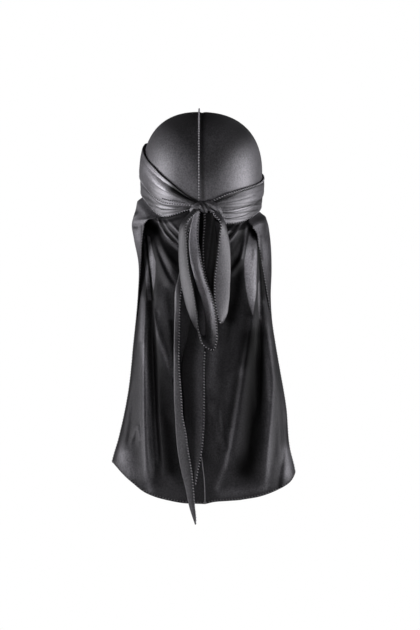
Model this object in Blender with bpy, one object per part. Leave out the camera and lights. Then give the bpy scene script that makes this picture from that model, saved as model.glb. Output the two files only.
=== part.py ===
"""Long satin durag as it sits on a head, tied once at the back, with a bow and two hanging ends.

Named lengths are in millimetres and the scene is in metres. Tables hold shares of the named lengths.
Z is up, the front faces -Y and the back of the head +Y.
The origin is the inner top of the crown. +X is the wearer's left.
"""

import bmesh
import bpy
import numpy as np

MM = 0.001

# Cloth
WALL = 1.2
GAP = 0.55

# The head hollow: a rounded form, wider on the right of the seam than on the left
HEAD_WIDTH = 154.1
HALF_LEFT = 0.4724 * HEAD_WIDTH
HALF_RIGHT = HEAD_WIDTH - HALF_LEFT
DEPTH_BACK = 95.0
DEPTH_FRONT = 97.0
RISE = 80.0
DROP = 125.0
WIDEST_Z = -RISE
PLAN_POWER = 2.15
SIDE_POWER = 2.4

# The raised centre seam
SEAM_HALF = 0.6
SEAM_STAND = 3.6
CAPE_SEAM_STAND = 0.5
SEAM_START = 1.0
PANEL_EDGE = SEAM_HALF + 0.3

# The tie line, and where the crown ends under the band: azimuth from the back in degrees, height in shares of RISE
TIE_SHARE = 1.55
TIE_Z = -TIE_SHARE * RISE
CROWN_RIM = [
    (-180, -0.875),
    (-150, -0.950),
    (-128, -1.125),
    (-90, -1.400),
    (-60, -1.500),
    (-40, -1.562),
    (-20, -1.587),
    (-8, -1.562),
    (0, -1.538),
    (20, -1.500),
    (41, -1.400),
    (60, -1.300),
    (90, -1.150),
    (126, -0.975),
    (150, -0.925),
    (180, -0.875),
]

# The band round the head: azimuth in degrees, upper edge, lower edge, both in shares of RISE
STRAP_LEFT = [
    (-0.6, -1.519, -1.613),
    (9, -1.406, -1.644),
    (20, -1.231, -1.706),
    (30, -1.081, -1.738),
    (41, -0.925, -1.681),
    (50, -0.831, -1.569),
    (60, -0.731, -1.475),
    (71, -0.637, -1.394),
    (90, -0.512, -1.281),
    (110, -0.450, -1.200),
    (126, -0.450, -1.125),
]
STRAP_RIGHT = [
    (2.6, -1.541, -1.631),
    (10, -1.494, -1.712),
    (20, -1.387, -1.837),
    (30, -1.319, -1.844),
    (40, -1.262, -1.812),
    (53, -1.200, -1.731),
    (64, -1.150, -1.663),
    (90, -1.025, -1.519),
    (110, -0.925, -1.387),
    (126, -0.825, -1.250),
]
FRONT_HEM = [
    (127.4, -0.456, -1.119),
    (150, -0.512, -1.025),
    (180, -0.588, -0.975),
    (210, -0.675, -1.050),
    (232.6, -0.819, -1.244),
]
BAND_LIFT = 2.4
LAYER_STEP = 1.3
LAYER_EDGE = 0.66

# The cape, and how wide its foot is on each side of the knot
CAPE_LENGTH = 375.5
FOOT_WIDTH = 234.0
FOOT_LEFT = 0.4786 * FOOT_WIDTH
FOOT_RIGHT = FOOT_WIDTH - FOOT_LEFT
TURN = 8.0
# Below the band the cape stays on the head for BAND_HOLD and leaves it over BAND_EASE
BAND_HOLD = 5.0
BAND_EASE = 26.0
# Its sections down each side. Column 1 is the share of CAPE_LENGTH below the tie line.
# The y columns are shares of DEPTH_BACK. An x column is 0 at the head's half width and 1 at the foot's.
# down, seam y, outer x, outer y, turn in shares of TURN, hem x, hem y, fullness
CAPE_LEFT = [
    (-0.064, 0.989, 0.145, 0.147, 0.56, -0.173, 0.484, 2.0),
    (0.003, 0.974, 0.235, 0.189, 0.75, -0.237, 0.547, 1.9),
    (0.056, 0.989, 0.362, 0.253, 1.00, -0.110, 0.632, 1.6),
    (0.109, 1.016, 0.286, 0.337, 1.00, -0.026, 0.674, 1.5),
    (0.189, 1.037, 0.128, 0.463, 0.75, 0.031, 0.695, 1.8),
    (0.309, 1.053, 0.128, 0.632, 0.38, 0.112, 0.726, 2.2),
    (0.469, 1.079, 0.265, 0.716, 0.05, 0.260, 0.726, 2.6),
    (0.628, 1.105, 0.426, 0.716, 0.04, 0.421, 0.726, 2.8),
    (0.788, 1.137, 0.745, 0.684, 0.04, 0.740, 0.695, 2.8),
    (0.874, 1.153, 0.974, 0.653, 0.04, 0.969, 0.663, 2.8),
    (1.001, 1.179, 1.013, 0.632, 0.04, 1.008, 0.642, 2.8),
]
CAPE_RIGHT = [
    (-0.016, 0.974, 0.029, 0.147, 0.56, -0.523, 0.589, 2.0),
    (0.029, 0.979, 0.115, 0.211, 0.75, -0.548, 0.632, 1.9),
    (0.064, 0.995, 0.204, 0.274, 0.88, -0.450, 0.663, 1.8),
    (0.096, 1.011, 0.243, 0.326, 1.00, -0.204, 0.653, 1.8),
    (0.133, 1.021, 0.273, 0.379, 1.00, -0.143, 0.663, 2.0),
    (0.218, 1.042, 0.287, 0.484, 0.88, -0.007, 0.695, 2.2),
    (0.309, 1.053, 0.251, 0.611, 0.62, 0.140, 0.716, 2.4),
    (0.402, 1.068, 0.297, 0.695, 0.12, 0.287, 0.726, 2.6),
    (0.525, 1.089, 0.477, 0.716, 0.04, 0.472, 0.726, 2.8),
    (0.684, 1.116, 0.727, 0.695, 0.04, 0.722, 0.705, 2.8),
    (0.828, 1.142, 0.853, 0.653, 0.04, 0.848, 0.663, 2.8),
    (0.897, 1.158, 1.007, 0.632, 0.04, 1.002, 0.642, 2.8),
    (1.001, 1.179, 1.025, 0.632, 0.04, 1.020, 0.642, 2.8),
]
# Top and bottom of the cape: share of the way from seam to side hem, top in shares of RISE, foot as down above
CAPE_ENDS_LEFT = [
    (0.00, -1.550, 1.000),
    (0.20, -1.519, 0.997),
    (0.40, -1.419, 0.985),
    (0.55, -1.337, 0.967),
    (0.64, -1.400, 0.951),
    (0.71, -1.406, 0.935),
    (0.80, -1.456, 0.915),
    (0.90, -1.625, 0.893),
    (1.00, -1.794, 0.874),
]
CAPE_ENDS_RIGHT = [
    (0.00, -1.550, 1.000),
    (0.08, -1.594, 0.993),
    (0.20, -1.631, 0.989),
    (0.45, -1.613, 0.987),
    (0.60, -1.613, 0.976),
    (0.71, -1.644, 0.961),
    (0.80, -1.688, 0.947),
    (0.90, -1.788, 0.925),
    (1.00, -1.900, 0.904),
]
# Raised folds of the cape. An x is a share of that side's foot, down is as above, and half width is as x.
# x, down at the top, x, down half way, x, down at the foot, half width, rise in shares of FOLD_RISE
FOLD_RISE = 6.0
FOLD_CLEAR = 12.0
CAPE_FOLDS = [
    (0.634, 0.304, 0.625, 0.602, 0.589, 0.948, 0.071, 1.00),
    (0.509, 0.336, 0.491, 0.628, 0.464, 0.921, 0.054, -0.50),
    (0.446, 0.069, 0.304, 0.202, 0.179, 0.368, 0.062, 0.42),
    (0.250, 0.469, 0.214, 0.575, 0.125, 0.788, 0.071, 0.33),
    (-0.697, 0.368, -0.762, 0.535, -0.705, 0.842, 0.066, 0.83),
    (-0.541, 0.349, -0.426, 0.655, -0.279, 0.868, 0.066, 0.58),
    (-0.426, 0.075, -0.328, 0.149, -0.246, 0.242, 0.057, 0.42),
]
# Sideways run of the cape's centre seam: down, x in shares of FOOT_LEFT
SEAM_RUN = [
    (0.000, 0.000),
    (0.735, 0.000),
    (0.836, -0.027),
    (0.921, -0.062),
    (1.001, -0.071),
]

# The knot
KNOT_X = -9.5
KNOT_SHARE = 1.6
KNOT_WIDE = 14.5
KNOT_DEEP = 6.0
KNOT_TALL = 5.8
KNOT_SLOPE = 0.15
KNOT_GROOVE = 0.22

# The bow's loops, down one side and up the other, by their near and far edges
LOOP_LEFT_LENGTH = 181.0
LOOP_RIGHT_LENGTH = 145.0
BOW_HALF = 34.0
BOW_STAND = 20.0
# across in shares of BOW_HALF from the knot, off the cape in shares of BOW_STAND, down in shares of the length
# near across, near off, near down, far across, far off, far down
LOOP_LEFT = [
    (0.294, 0.643, 0.025, 0.471, 0.557, 0.012),
    (0.709, 1.013, 0.107, 0.932, 0.759, 0.118),
    (0.706, 1.149, 0.266, 1.009, 0.660, 0.264),
    (0.632, 1.069, 0.425, 0.988, 0.425, 0.423),
    (0.450, 1.030, 0.597, 0.859, 0.244, 0.596),
    (0.341, 0.973, 0.748, 0.656, 0.218, 0.734),
    (0.285, 0.897, 0.879, 0.362, 0.211, 0.845),
    (0.085, 0.834, 0.968, 0.159, 0.213, 0.893),
    (-0.244, 0.727, 0.999, -0.006, 0.217, 0.887),
    (-0.400, 0.707, 0.941, -0.018, 0.248, 0.810),
    (-0.406, 0.762, 0.817, 0.050, 0.284, 0.720),
    (-0.244, 0.882, 0.638, 0.215, 0.298, 0.610),
    (0.012, 0.905, 0.501, 0.418, 0.306, 0.499),
    (0.197, 0.817, 0.341, 0.600, 0.389, 0.347),
    (0.315, 0.598, 0.182, 0.621, 0.492, 0.187),
    (0.235, 0.487, 0.030, 0.415, 0.424, 0.019),
]
LOOP_RIGHT = [
    (-0.235, 0.752, 0.051, -0.441, 0.704, 0.046),
    (-0.488, 1.146, 0.133, -0.632, 0.814, 0.104),
    (-0.465, 1.103, 0.246, -0.818, 0.715, 0.260),
    (-0.374, 0.937, 0.435, -0.888, 0.464, 0.432),
    (-0.265, 0.822, 0.650, -0.876, 0.412, 0.666),
    (-0.282, 0.776, 0.822, -0.832, 0.367, 0.821),
    (-0.391, 0.690, 0.943, -0.724, 0.326, 0.951),
    (-0.485, 0.501, 0.999, -0.594, 0.262, 0.999),
    (-0.412, 0.317, 0.943, -0.559, 0.186, 0.934),
    (-0.265, 0.331, 0.804, -0.541, 0.216, 0.804),
    (-0.135, 0.365, 0.546, -0.468, 0.237, 0.545),
    (-0.118, 0.457, 0.286, -0.394, 0.418, 0.286),
    (-0.126, 0.497, 0.138, -0.321, 0.482, 0.131),
    (-0.074, 0.471, 0.051, -0.235, 0.458, 0.048),
]
# The hanging ends lie on the cape. One crosses over the other, a layer up.
END_LEFT_LENGTH = 396.5
END_RIGHT_LENGTH = 347.7
END_SPREAD = 34.0
LIE_GAP = 1.5
CROSS_GAP = 0.9
# down in shares of the length, left edge and right edge in shares of END_SPREAD from the knot, layer
END_LEFT = [
    (0.007, 0.397, 0.221, 1.67),
    (0.023, 0.515, 0.324, 1.00),
    (0.045, 0.691, 0.485, 0.00),
    (0.103, 0.918, 0.715, 0.00),
    (0.174, 0.935, 0.750, 0.00),
    (0.217, 1.026, 0.841, 0.00),
    (0.262, 1.144, 0.918, 0.10),
    (0.328, 1.168, 0.962, 0.19),
    (0.396, 1.188, 0.988, 0.43),
    (0.484, 1.194, 1.006, 1.00),
    (0.610, 1.182, 0.894, 1.00),
    (0.661, 1.150, 0.856, 1.00),
    (0.714, 1.115, 0.735, 1.00),
    (0.767, 1.059, 0.647, 1.00),
    (0.830, 0.929, 0.526, 1.00),
    (0.895, 0.744, 0.453, 1.00),
    (0.943, 0.632, 0.418, 1.00),
    (0.986, 0.474, 0.374, 1.00),
    (1.000, 0.418, 0.382, 1.00),
]
END_RIGHT = [
    (0.014, 0.124, -0.132, 1.19),
    (0.032, 0.121, -0.174, 0.62),
    (0.083, 0.106, -0.247, 0.00),
    (0.184, 0.235, -0.153, 0.00),
    (0.336, 0.529, -0.062, 0.00),
    (0.480, 0.750, -0.024, 0.00),
    (0.558, 0.915, 0.012, 0.00),
    (0.696, 0.859, 0.021, 0.00),
    (0.800, 0.803, 0.050, 0.00),
    (0.892, 0.691, 0.159, 0.00),
    (0.961, 0.562, 0.321, 0.00),
    (1.000, 0.453, 0.403, 0.00),
]


def along(rows, key):
    """A smooth curve through a table's rows, read at its first column. It holds still beyond both ends."""
    table = np.array(sorted(rows), float)
    at, values = table[:, 0], table[:, 1:]
    slope = np.gradient(values, at, axis=0)
    key = np.clip(np.asarray(key, float), at[0], at[-1])
    i = np.clip(np.searchsorted(at, key, side="right") - 1, 0, len(at) - 2)
    span = (at[i + 1] - at[i])[..., None]
    t = (key[..., None] - at[i][..., None]) / span
    a, b = values[i], values[i + 1]
    ka, kb = slope[i] * span, slope[i + 1] * span
    curve = (2 * t**3 - 3 * t**2 + 1) * a + (t**3 - 2 * t**2 + t) * ka
    curve = curve + (3 * t**2 - 2 * t**3) * b + (t**3 - t**2) * kb
    return np.moveaxis(curve, -1, 0)


def ease(value):
    value = np.clip(value, 0, 1)
    return value * value * (3 - 2 * value)


def plan_reach(azimuth, off):
    """Half size of the head hollow's widest section in a direction, plus off."""
    across, along_y = np.sin(azimuth), np.cos(azimuth)
    half_x = np.where(across > 0, HALF_LEFT, HALF_RIGHT) + off
    half_y = np.where(along_y > 0, DEPTH_BACK, DEPTH_FRONT) + off
    sum_of = np.abs(across / half_x) ** PLAN_POWER + np.abs(along_y / half_y) ** PLAN_POWER
    return sum_of ** (-1 / PLAN_POWER)


def share_at(z, off):
    """How wide the hollow is at a height, as a share of its widest."""
    tall = np.where(z > WIDEST_Z, RISE, DROP) + off
    left = 1 - np.abs((z - WIDEST_Z) / tall) ** SIDE_POWER
    return np.clip(left, 0, 1) ** (1 / SIDE_POWER)


def head_at(azimuth, z, off):
    """A point off the head hollow, from its azimuth and height."""
    reach = plan_reach(azimuth, off) * share_at(z, off)
    return np.stack([reach * np.sin(azimuth), reach * np.cos(azimuth), z + 0 * reach], -1)


def dome_at(azimuth, tilt, off):
    """A point off the head hollow, from its azimuth and its angle from straight up."""
    reach = plan_reach(azimuth, off)
    tall = np.where(np.cos(tilt) > 0, RISE, DROP) + off
    sum_of = np.abs(np.sin(tilt) / reach) ** SIDE_POWER + np.abs(np.cos(tilt) / tall) ** SIDE_POWER
    ray = sum_of ** (-1 / SIDE_POWER)
    flat = ray * np.sin(tilt)
    return np.stack(
        [flat * np.sin(azimuth), flat * np.cos(azimuth), WIDEST_Z + ray * np.cos(tilt)], -1
    )


def rim_tilt(azimuth):
    """Angle from straight up at which the crown ends."""
    degrees = (np.degrees(azimuth) + 180) % 360 - 180
    z = RISE * along(CROWN_RIM, degrees)[0]
    return np.arctan2(plan_reach(azimuth, 0) * share_at(z, 0), z - WIDEST_Z)


def grid(across, down):
    return np.meshgrid(np.linspace(0, 1, across + 1), np.linspace(0, 1, down + 1), indexing="ij")


def facing(points):
    """Unit normals of a grid of points."""
    normal = np.cross(np.gradient(points, axis=0), np.gradient(points, axis=1))
    return normal / np.maximum(np.linalg.norm(normal, axis=-1, keepdims=True), 1e-9)


def thick(points, wall=WALL):
    """The two faces of a sheet of cloth round its middle surface."""
    shift = facing(points) * wall / 2
    return points + shift, points - shift


def slab(name, faces, collection, slot):
    """One closed piece of cloth between two grids of points with the same rows and columns."""
    mesh = bpy.data.meshes.new(name)
    bm = bmesh.new()
    rows, columns = faces[0].shape[:2]
    sides = [
        [[bm.verts.new([float(c) * MM for c in face[i, j]]) for j in range(columns)] for i in range(rows)]
        for face in faces
    ]
    for layer in sides:
        for i in range(rows - 1):
            for j in range(columns - 1):
                bm.faces.new((layer[i][j], layer[i + 1][j], layer[i + 1][j + 1], layer[i][j + 1]))
    ring = [(i, 0) for i in range(rows)]
    ring += [(rows - 1, j) for j in range(1, columns)]
    ring += [(i, columns - 1) for i in range(rows - 2, -1, -1)]
    ring += [(0, j) for j in range(columns - 2, 0, -1)]
    for (i, j), (k, m) in zip(ring, ring[1:] + ring[:1]):
        bm.faces.new((sides[0][i][j], sides[0][k][m], sides[1][k][m], sides[1][i][j]))
    bmesh.ops.remove_doubles(bm, verts=bm.verts, dist=1e-7)
    bmesh.ops.recalc_face_normals(bm, faces=bm.faces)
    bm.to_mesh(mesh)
    bm.free()
    return place(name, mesh, collection, slot)


def place(name, mesh, collection, slot):
    piece = bpy.data.objects.new(name, mesh)
    piece.data.materials.append(slot)
    collection.objects.link(piece)
    return piece


def satin(name, grey):
    material = bpy.data.materials.new(name)
    material.use_nodes = True
    shader = material.node_tree.nodes["Principled BSDF"]
    shader.inputs["Base Color"].default_value = (grey, grey, grey, 1)
    shader.inputs["Roughness"].default_value = 0.38
    return material


def crown_panel(side, across=16, down=11):
    """Half of the crown, from the seam over the top down to the band."""
    u, v = grid(across, down)
    azimuth = side * u * np.pi
    tilt = v * rim_tilt(side * np.clip(u * np.pi, 1e-6, np.pi - 1e-6))
    faces = []
    for off in (WALL, 0.0):
        points = dome_at(azimuth, tilt, off)
        half = HALF_LEFT if side > 0 else HALF_RIGHT
        reach = np.abs(points[..., 0])
        points[..., 0] = side * (PANEL_EDGE + reach * (1 - PANEL_EDGE / half))
        faces.append(points)
    return faces


def edge_tilt(azimuth, share):
    """Angle from straight up of a band's edge that is given in shares of RISE."""
    z = RISE * share
    return np.arctan2(plan_reach(azimuth, 0) * share_at(z, 0), z - WIDEST_Z)


def crown_seam(steps=44):
    """The raised seam over the crown, flattened where the front band and the knot cover it."""
    front = rim_tilt(np.array(np.pi))
    back = rim_tilt(np.array(0.0))
    u, v = grid(steps, 1)
    angle = -front + u * (front + back)
    azimuth = np.where(angle < 0, np.pi, 0.0)
    bare_front = edge_tilt(np.array(np.pi), along(FRONT_HEM, 180)[0])
    bare_back = edge_tilt(np.array(0.0), STRAP_LEFT[0][1])
    stand = SEAM_STAND * ease((angle + bare_front) * 14) * ease((bare_back - angle) * 14)
    points = dome_at(azimuth, np.abs(angle), v * (WALL + stand))
    faces = []
    for x in (SEAM_HALF, -SEAM_HALF):
        face = points.copy()
        face[..., 0] = x
        faces.append(face)
    return faces


def strap(table, side, across=26, down=8):
    """One strap laid round the head, wide at the front and gathered at the knot."""
    u, v = grid(across, down)
    start, end = table[0][0], table[-1][0]
    degrees = start + (end - start) * u
    upper, lower = RISE * along(table, degrees)
    z = upper + (lower - upper) * v
    azimuth = side * np.radians(degrees)
    rise = WALL + GAP + BAND_LIFT * ease((16 - degrees) / 14)
    step = LAYER_STEP * ease((LAYER_EDGE - v) * 16 + 0.5) * ease((degrees - start) / 8)
    return [head_at(azimuth, z, rise + WALL + step), head_at(azimuth, z, rise)]


def front_hem(across=18, down=6):
    u, v = grid(across, down)
    start, end = FRONT_HEM[0][0], FRONT_HEM[-1][0]
    degrees = start + (end - start) * u
    upper, lower = RISE * along(FRONT_HEM, degrees)
    z = upper + (lower - upper) * v
    azimuth = np.radians(degrees)
    return [head_at(azimuth, z, 2 * WALL + GAP), head_at(azimuth, z, WALL + GAP)]


def cape_row(side, z):
    """The cape's section at a height: seam y, outer x, outer y, turn, hem x, hem y, fullness."""
    table, half, foot = (CAPE_LEFT, HALF_LEFT, FOOT_LEFT) if side > 0 else (CAPE_RIGHT, HALF_RIGHT, FOOT_RIGHT)
    y_seam, x_out, y_out, turn, x_hem, y_hem, power = along(table, (TIE_Z - z) / CAPE_LENGTH)
    wide = foot - half
    return [
        y_seam * DEPTH_BACK,
        half + x_out * wide,
        y_out * DEPTH_BACK,
        turn * TURN,
        half + x_hem * wide,
        y_hem * DEPTH_BACK,
        power,
    ]


def cape_section(side, z, share, samples=64):
    """Middle surface of the cape at a height, at a share of the way from the seam to the side hem."""
    band = STRAP_LEFT if side > 0 else STRAP_RIGHT
    y_seam, x_out, y_out, turn, x_hem, y_hem, power = cape_row(side, z)
    x_end = x_out - turn
    xs, ys = [], []
    for k in range(samples + 1):
        angle = np.pi / 2 * k / samples
        x = x_end * np.sin(angle) ** (2 / power)
        y = y_out + (y_seam - y_out) * np.cos(angle) ** (2 / power)
        azimuth = np.arctan2(x, y)
        lower = RISE * along(band, np.degrees(azimuth))[1]
        free = ease((lower - BAND_HOLD - z) / BAND_EASE)
        held = head_at(side * azimuth, z, WALL / 2)
        x = np.abs(held[..., 0]) * (1 - free) + x * free
        y = held[..., 1] * (1 - free) + y * free
        xs.append(x)
        ys.append(y)
    for k in range(1, 9):
        angle = np.pi * k / 8
        xs.append(x_end + (x_out - x_end) * (1 - np.cos(angle)) / 2)
        ys.append(y_out - 0.7 * turn * np.sin(angle))
    for k in range(1, 13):
        t = k / 12
        xs.append(x_out + (x_hem - x_out) * t**1.6)
        ys.append(y_out + (y_hem - y_out) * t)
    xs, ys = np.array(xs), np.array(ys)
    run = np.concatenate(
        [np.zeros((1,) + z.shape), np.cumsum(np.hypot(np.diff(xs, axis=0), np.diff(ys, axis=0)), axis=0)]
    )
    want = share * run[-1]
    x, y = xs[0].copy(), ys[0].copy()
    for k in range(len(xs) - 1):
        inside = want >= run[k]
        t = np.clip((want - run[k]) / np.maximum(run[k + 1] - run[k], 1e-9), 0, 1)
        x = np.where(inside, xs[k] + (xs[k + 1] - xs[k]) * t, x)
        y = np.where(inside, ys[k] + (ys[k + 1] - ys[k]) * t, y)
    main_share = run[samples] / run[-1]
    return x, y, main_share


def fold_rise(x, z):
    """How far the cape's folds stand out at a place."""
    rise = np.zeros(np.shape(x))
    down = (TIE_Z - z) / CAPE_LENGTH
    for x_top, top, x_mid, mid, x_foot, foot, half, height in CAPE_FOLDS:
        wide = FOOT_LEFT if x_top > 0 else FOOT_RIGHT
        line = wide * along([(top, x_top), (mid, x_mid), (foot, x_foot)], down)[0]
        fade = ease((down - top) / 0.08 + 0.5) * ease((foot - down) / 0.11 + 0.5)
        rise = rise + FOLD_RISE * height * fade * np.exp(-(((x - line) / (half * wide)) ** 2))
    return rise


def cape_back(x, z):
    """The cape's outer face as a height in y, for what lies on it."""
    left = cape_row(1, z)
    right = cape_row(-1, z)
    y_seam, x_out, y_out, turn, _, _, power = [np.where(x > 0, a, b) for a, b in zip(left, right)]
    near = np.clip(np.abs(x) / (x_out - turn), 0, 0.98)
    y = y_out + (y_seam - y_out) * (1 - near**power) ** (1 / power)
    return y + fold_rise(x, z) + WALL / 2


def seam_x(z):
    """How far the cape's centre seam runs to one side at a height."""
    return FOOT_LEFT * along(SEAM_RUN, (TIE_Z - z) / CAPE_LENGTH)[0]


def cape_panel(side, across=18, down=26):
    u, v = grid(across, down)
    ends = CAPE_ENDS_LEFT if side > 0 else CAPE_ENDS_RIGHT
    top, foot = along(ends, u)
    top = RISE * top
    z = top + (TIE_Z - CAPE_LENGTH * foot - top) * v**1.15
    x, y, main_share = cape_section(side, z, u)
    half = HALF_LEFT if side > 0 else HALF_RIGHT
    start = PANEL_EDGE * (1 - np.clip(x / half, 0, 1))
    x = side * (x + start)
    y = y + fold_rise(x, z) * ease((main_share - u) * 8) * ease(np.abs(x) / FOLD_CLEAR)
    x = x + seam_x(z) * ease(1 - np.abs(x) / half)
    points = np.stack([x, y, z], -1)
    outer, inner = thick(points)
    for face in (outer, inner):
        face[0, :, 0] = points[0, :, 0]
    return [outer, inner]


def cape_seam(steps=40):
    u, v = grid(steps, 1)
    z = TIE_Z - SEAM_START - u * (CAPE_LENGTH - SEAM_START)
    x, y, _ = cape_section(1, z, 0 * u)
    x = seam_x(z)
    y = y - WALL / 2 + v * (WALL + CAPE_SEAM_STAND)
    return [np.stack([x + SEAM_HALF, y, z], -1), np.stack([x - SEAM_HALF, y, z], -1)]


def knot_centre():
    """The middle of the knot, seated on the band's outer face."""
    z = -KNOT_SHARE * RISE
    face = head_at(np.arctan2(KNOT_X, DEPTH_BACK), z, 2 * WALL + GAP + BAND_LIFT)
    return KNOT_X, face[1] + 0.95 * KNOT_DEEP, z


def bow_loop(table, length, steps, across=3):
    """One loop of the bow, a length of strap between its two edges."""
    u, v = grid(steps, across)
    table = np.array(table, float)
    _, _, top = knot_centre()
    edges = []
    for near, off, down in (table[:, :3].T, table[:, 3:].T):
        x = KNOT_X + BOW_HALF * near
        z = top - length * down
        edges.append(np.stack([x, cape_back(x, z) + BOW_STAND * off, z], -1))
    middle = (edges[0] + edges[1]) / 2
    run = np.concatenate([[0], np.cumsum(np.linalg.norm(np.diff(middle, axis=0), axis=1))])
    line = along(np.column_stack([run, edges[0], edges[1]]).tolist(), u * run[-1])
    near, far = np.moveaxis(line[:3], 0, -1), np.moveaxis(line[3:], 0, -1)
    return thick(near + (far - near) * v[..., None])


def hanging_end(table, length, steps, across=3):
    """The loose end of a strap, lying on the cape."""
    u, v = grid(steps, across)
    down = table[0][0] + (table[-1][0] - table[0][0]) * u
    left, right, layer = along(table, down)
    z = knot_centre()[2] - length * down
    x = KNOT_X + END_SPREAD * (left + (right - left) * v)
    rise = WALL / 2 + LIE_GAP + layer * (WALL + CROSS_GAP)
    return thick(np.stack([x, cape_back(x, z) + rise, z], -1))


def knot(collection, slot):
    """The knot: two turns of cloth side by side."""
    middle = knot_centre()
    mesh = bpy.data.meshes.new("knot")
    bm = bmesh.new()
    bmesh.ops.create_uvsphere(bm, u_segments=24, v_segments=14, radius=1)
    for vert in bm.verts:
        x, y, z = vert.co
        squeeze = 1 - KNOT_GROOVE * np.exp(-(((x - 0.25) / 0.18) ** 2))
        squeeze = squeeze * (0.88 + 0.12 * ease(0.5 - 1.5 * x)) * max(1 - x * x, 1e-4) ** -0.2
        across = KNOT_WIDE * np.sign(x) * abs(x) ** 0.9
        deep = KNOT_DEEP * y * squeeze
        tall = KNOT_TALL * z * squeeze + KNOT_SLOPE * across
        vert.co = [MM * (m + d) for m, d in zip(middle, (across, deep, tall))]
    bmesh.ops.recalc_face_normals(bm, faces=bm.faces)
    bm.to_mesh(mesh)
    bm.free()
    return place("knot", mesh, collection, slot)


def main():
    for old in list(bpy.data.objects):
        bpy.data.objects.remove(old)
    durag = bpy.data.collections.new("durag")
    bpy.context.scene.collection.children.link(durag)
    cloth = satin("satin", 0.028)
    tie = satin("tie_satin", 0.04)
    edge = satin("seam_thread", 0.02)

    slab("crown_panel_left", crown_panel(1), durag, cloth)
    slab("crown_panel_right", crown_panel(-1), durag, cloth)
    slab("crown_seam", crown_seam(), durag, edge)
    slab("front_hem", front_hem(), durag, tie)
    slab("strap_left", strap(STRAP_LEFT, 1), durag, tie)
    slab("strap_right", strap(STRAP_RIGHT, -1), durag, tie)
    slab("cape_panel_left", cape_panel(1), durag, cloth)
    slab("cape_panel_right", cape_panel(-1), durag, cloth)
    slab("cape_seam", cape_seam(), durag, edge)
    slab("bow_loop_left", bow_loop(LOOP_LEFT, LOOP_LEFT_LENGTH, 44), durag, tie)
    slab("bow_loop_right", bow_loop(LOOP_RIGHT, LOOP_RIGHT_LENGTH, 36), durag, tie)
    slab("tie_end_left", hanging_end(END_LEFT, END_LEFT_LENGTH, 40), durag, tie)
    slab("tie_end_right", hanging_end(END_RIGHT, END_RIGHT_LENGTH, 34), durag, tie)
    knot(durag, tie)


main()
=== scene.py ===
"""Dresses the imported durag: satin at full resolution, folds, seams, hems, stitches, lights and the camera.

Lengths are in millimetres until a mesh is made. Z is up and the wearer faces -Y, so the camera sees the back.
"""

import bmesh
import bpy
import numpy as np
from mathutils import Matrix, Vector


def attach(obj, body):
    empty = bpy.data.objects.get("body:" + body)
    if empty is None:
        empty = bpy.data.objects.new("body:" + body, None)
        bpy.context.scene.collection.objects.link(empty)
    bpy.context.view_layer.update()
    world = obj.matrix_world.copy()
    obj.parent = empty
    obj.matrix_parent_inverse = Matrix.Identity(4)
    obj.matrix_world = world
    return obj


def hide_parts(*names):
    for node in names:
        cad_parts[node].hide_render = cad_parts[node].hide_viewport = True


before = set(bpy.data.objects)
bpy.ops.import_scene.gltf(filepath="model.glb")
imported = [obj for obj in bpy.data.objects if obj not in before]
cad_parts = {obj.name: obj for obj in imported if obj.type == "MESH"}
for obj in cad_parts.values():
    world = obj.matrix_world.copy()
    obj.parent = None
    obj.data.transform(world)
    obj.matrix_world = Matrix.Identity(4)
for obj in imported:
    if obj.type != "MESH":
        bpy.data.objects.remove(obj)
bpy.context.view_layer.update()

MM = 0.001

# Cloth
WALL = 1.2
GAP = 0.55

# The head hollow: a rounded form, wider on the right of the seam than on the left
HEAD_WIDTH = 154.1
HALF_LEFT = 0.4724 * HEAD_WIDTH
HALF_RIGHT = HEAD_WIDTH - HALF_LEFT
DEPTH_BACK = 95.0
DEPTH_FRONT = 97.0
RISE = 80.0
DROP = 125.0
WIDEST_Z = -RISE
PLAN_POWER = 2.15
SIDE_POWER = 2.4

# The raised centre seam
SEAM_HALF = 0.6
SEAM_STAND = 3.6
CAPE_SEAM_STAND = 0.5
SEAM_START = 1.0

# The tie line, and where the crown ends under the band
# azimuth from the back in degrees, height in shares of RISE
TIE_SHARE = 1.55
TIE_Z = -TIE_SHARE * RISE
CROWN_RIM = [
    (-180, -0.875),
    (-150, -0.950),
    (-128, -1.125),
    (-90, -1.400),
    (-60, -1.500),
    (-40, -1.562),
    (-20, -1.587),
    (-8, -1.562),
    (0, -1.538),
    (20, -1.500),
    (41, -1.400),
    (60, -1.300),
    (90, -1.150),
    (126, -0.975),
    (150, -0.925),
    (180, -0.875),
]

# The band round the head: azimuth in degrees, upper edge, lower edge, both in shares of RISE
STRAP_LEFT = [
    (-0.6, -1.519, -1.613),
    (9, -1.406, -1.644),
    (20, -1.231, -1.706),
    (30, -1.081, -1.738),
    (41, -0.925, -1.681),
    (50, -0.831, -1.569),
    (60, -0.731, -1.475),
    (71, -0.637, -1.394),
    (90, -0.512, -1.281),
    (110, -0.450, -1.200),
    (126, -0.450, -1.125),
]
STRAP_RIGHT = [
    (2.6, -1.541, -1.631),
    (10, -1.494, -1.712),
    (20, -1.387, -1.837),
    (30, -1.319, -1.844),
    (40, -1.262, -1.812),
    (53, -1.200, -1.731),
    (64, -1.150, -1.663),
    (90, -1.025, -1.519),
    (110, -0.925, -1.387),
    (126, -0.825, -1.250),
]
FRONT_HEM = [
    (127.4, -0.456, -1.119),
    (150, -0.512, -1.025),
    (180, -0.588, -0.975),
    (210, -0.675, -1.050),
    (232.6, -0.819, -1.244),
]
BAND_LIFT = 2.4

# The cape, and how wide its foot is on each side of the knot
CAPE_LENGTH = 375.5
FOOT_WIDTH = 234.0
FOOT_LEFT = 0.4786 * FOOT_WIDTH
FOOT_RIGHT = FOOT_WIDTH - FOOT_LEFT
TURN = 8.0
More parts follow.
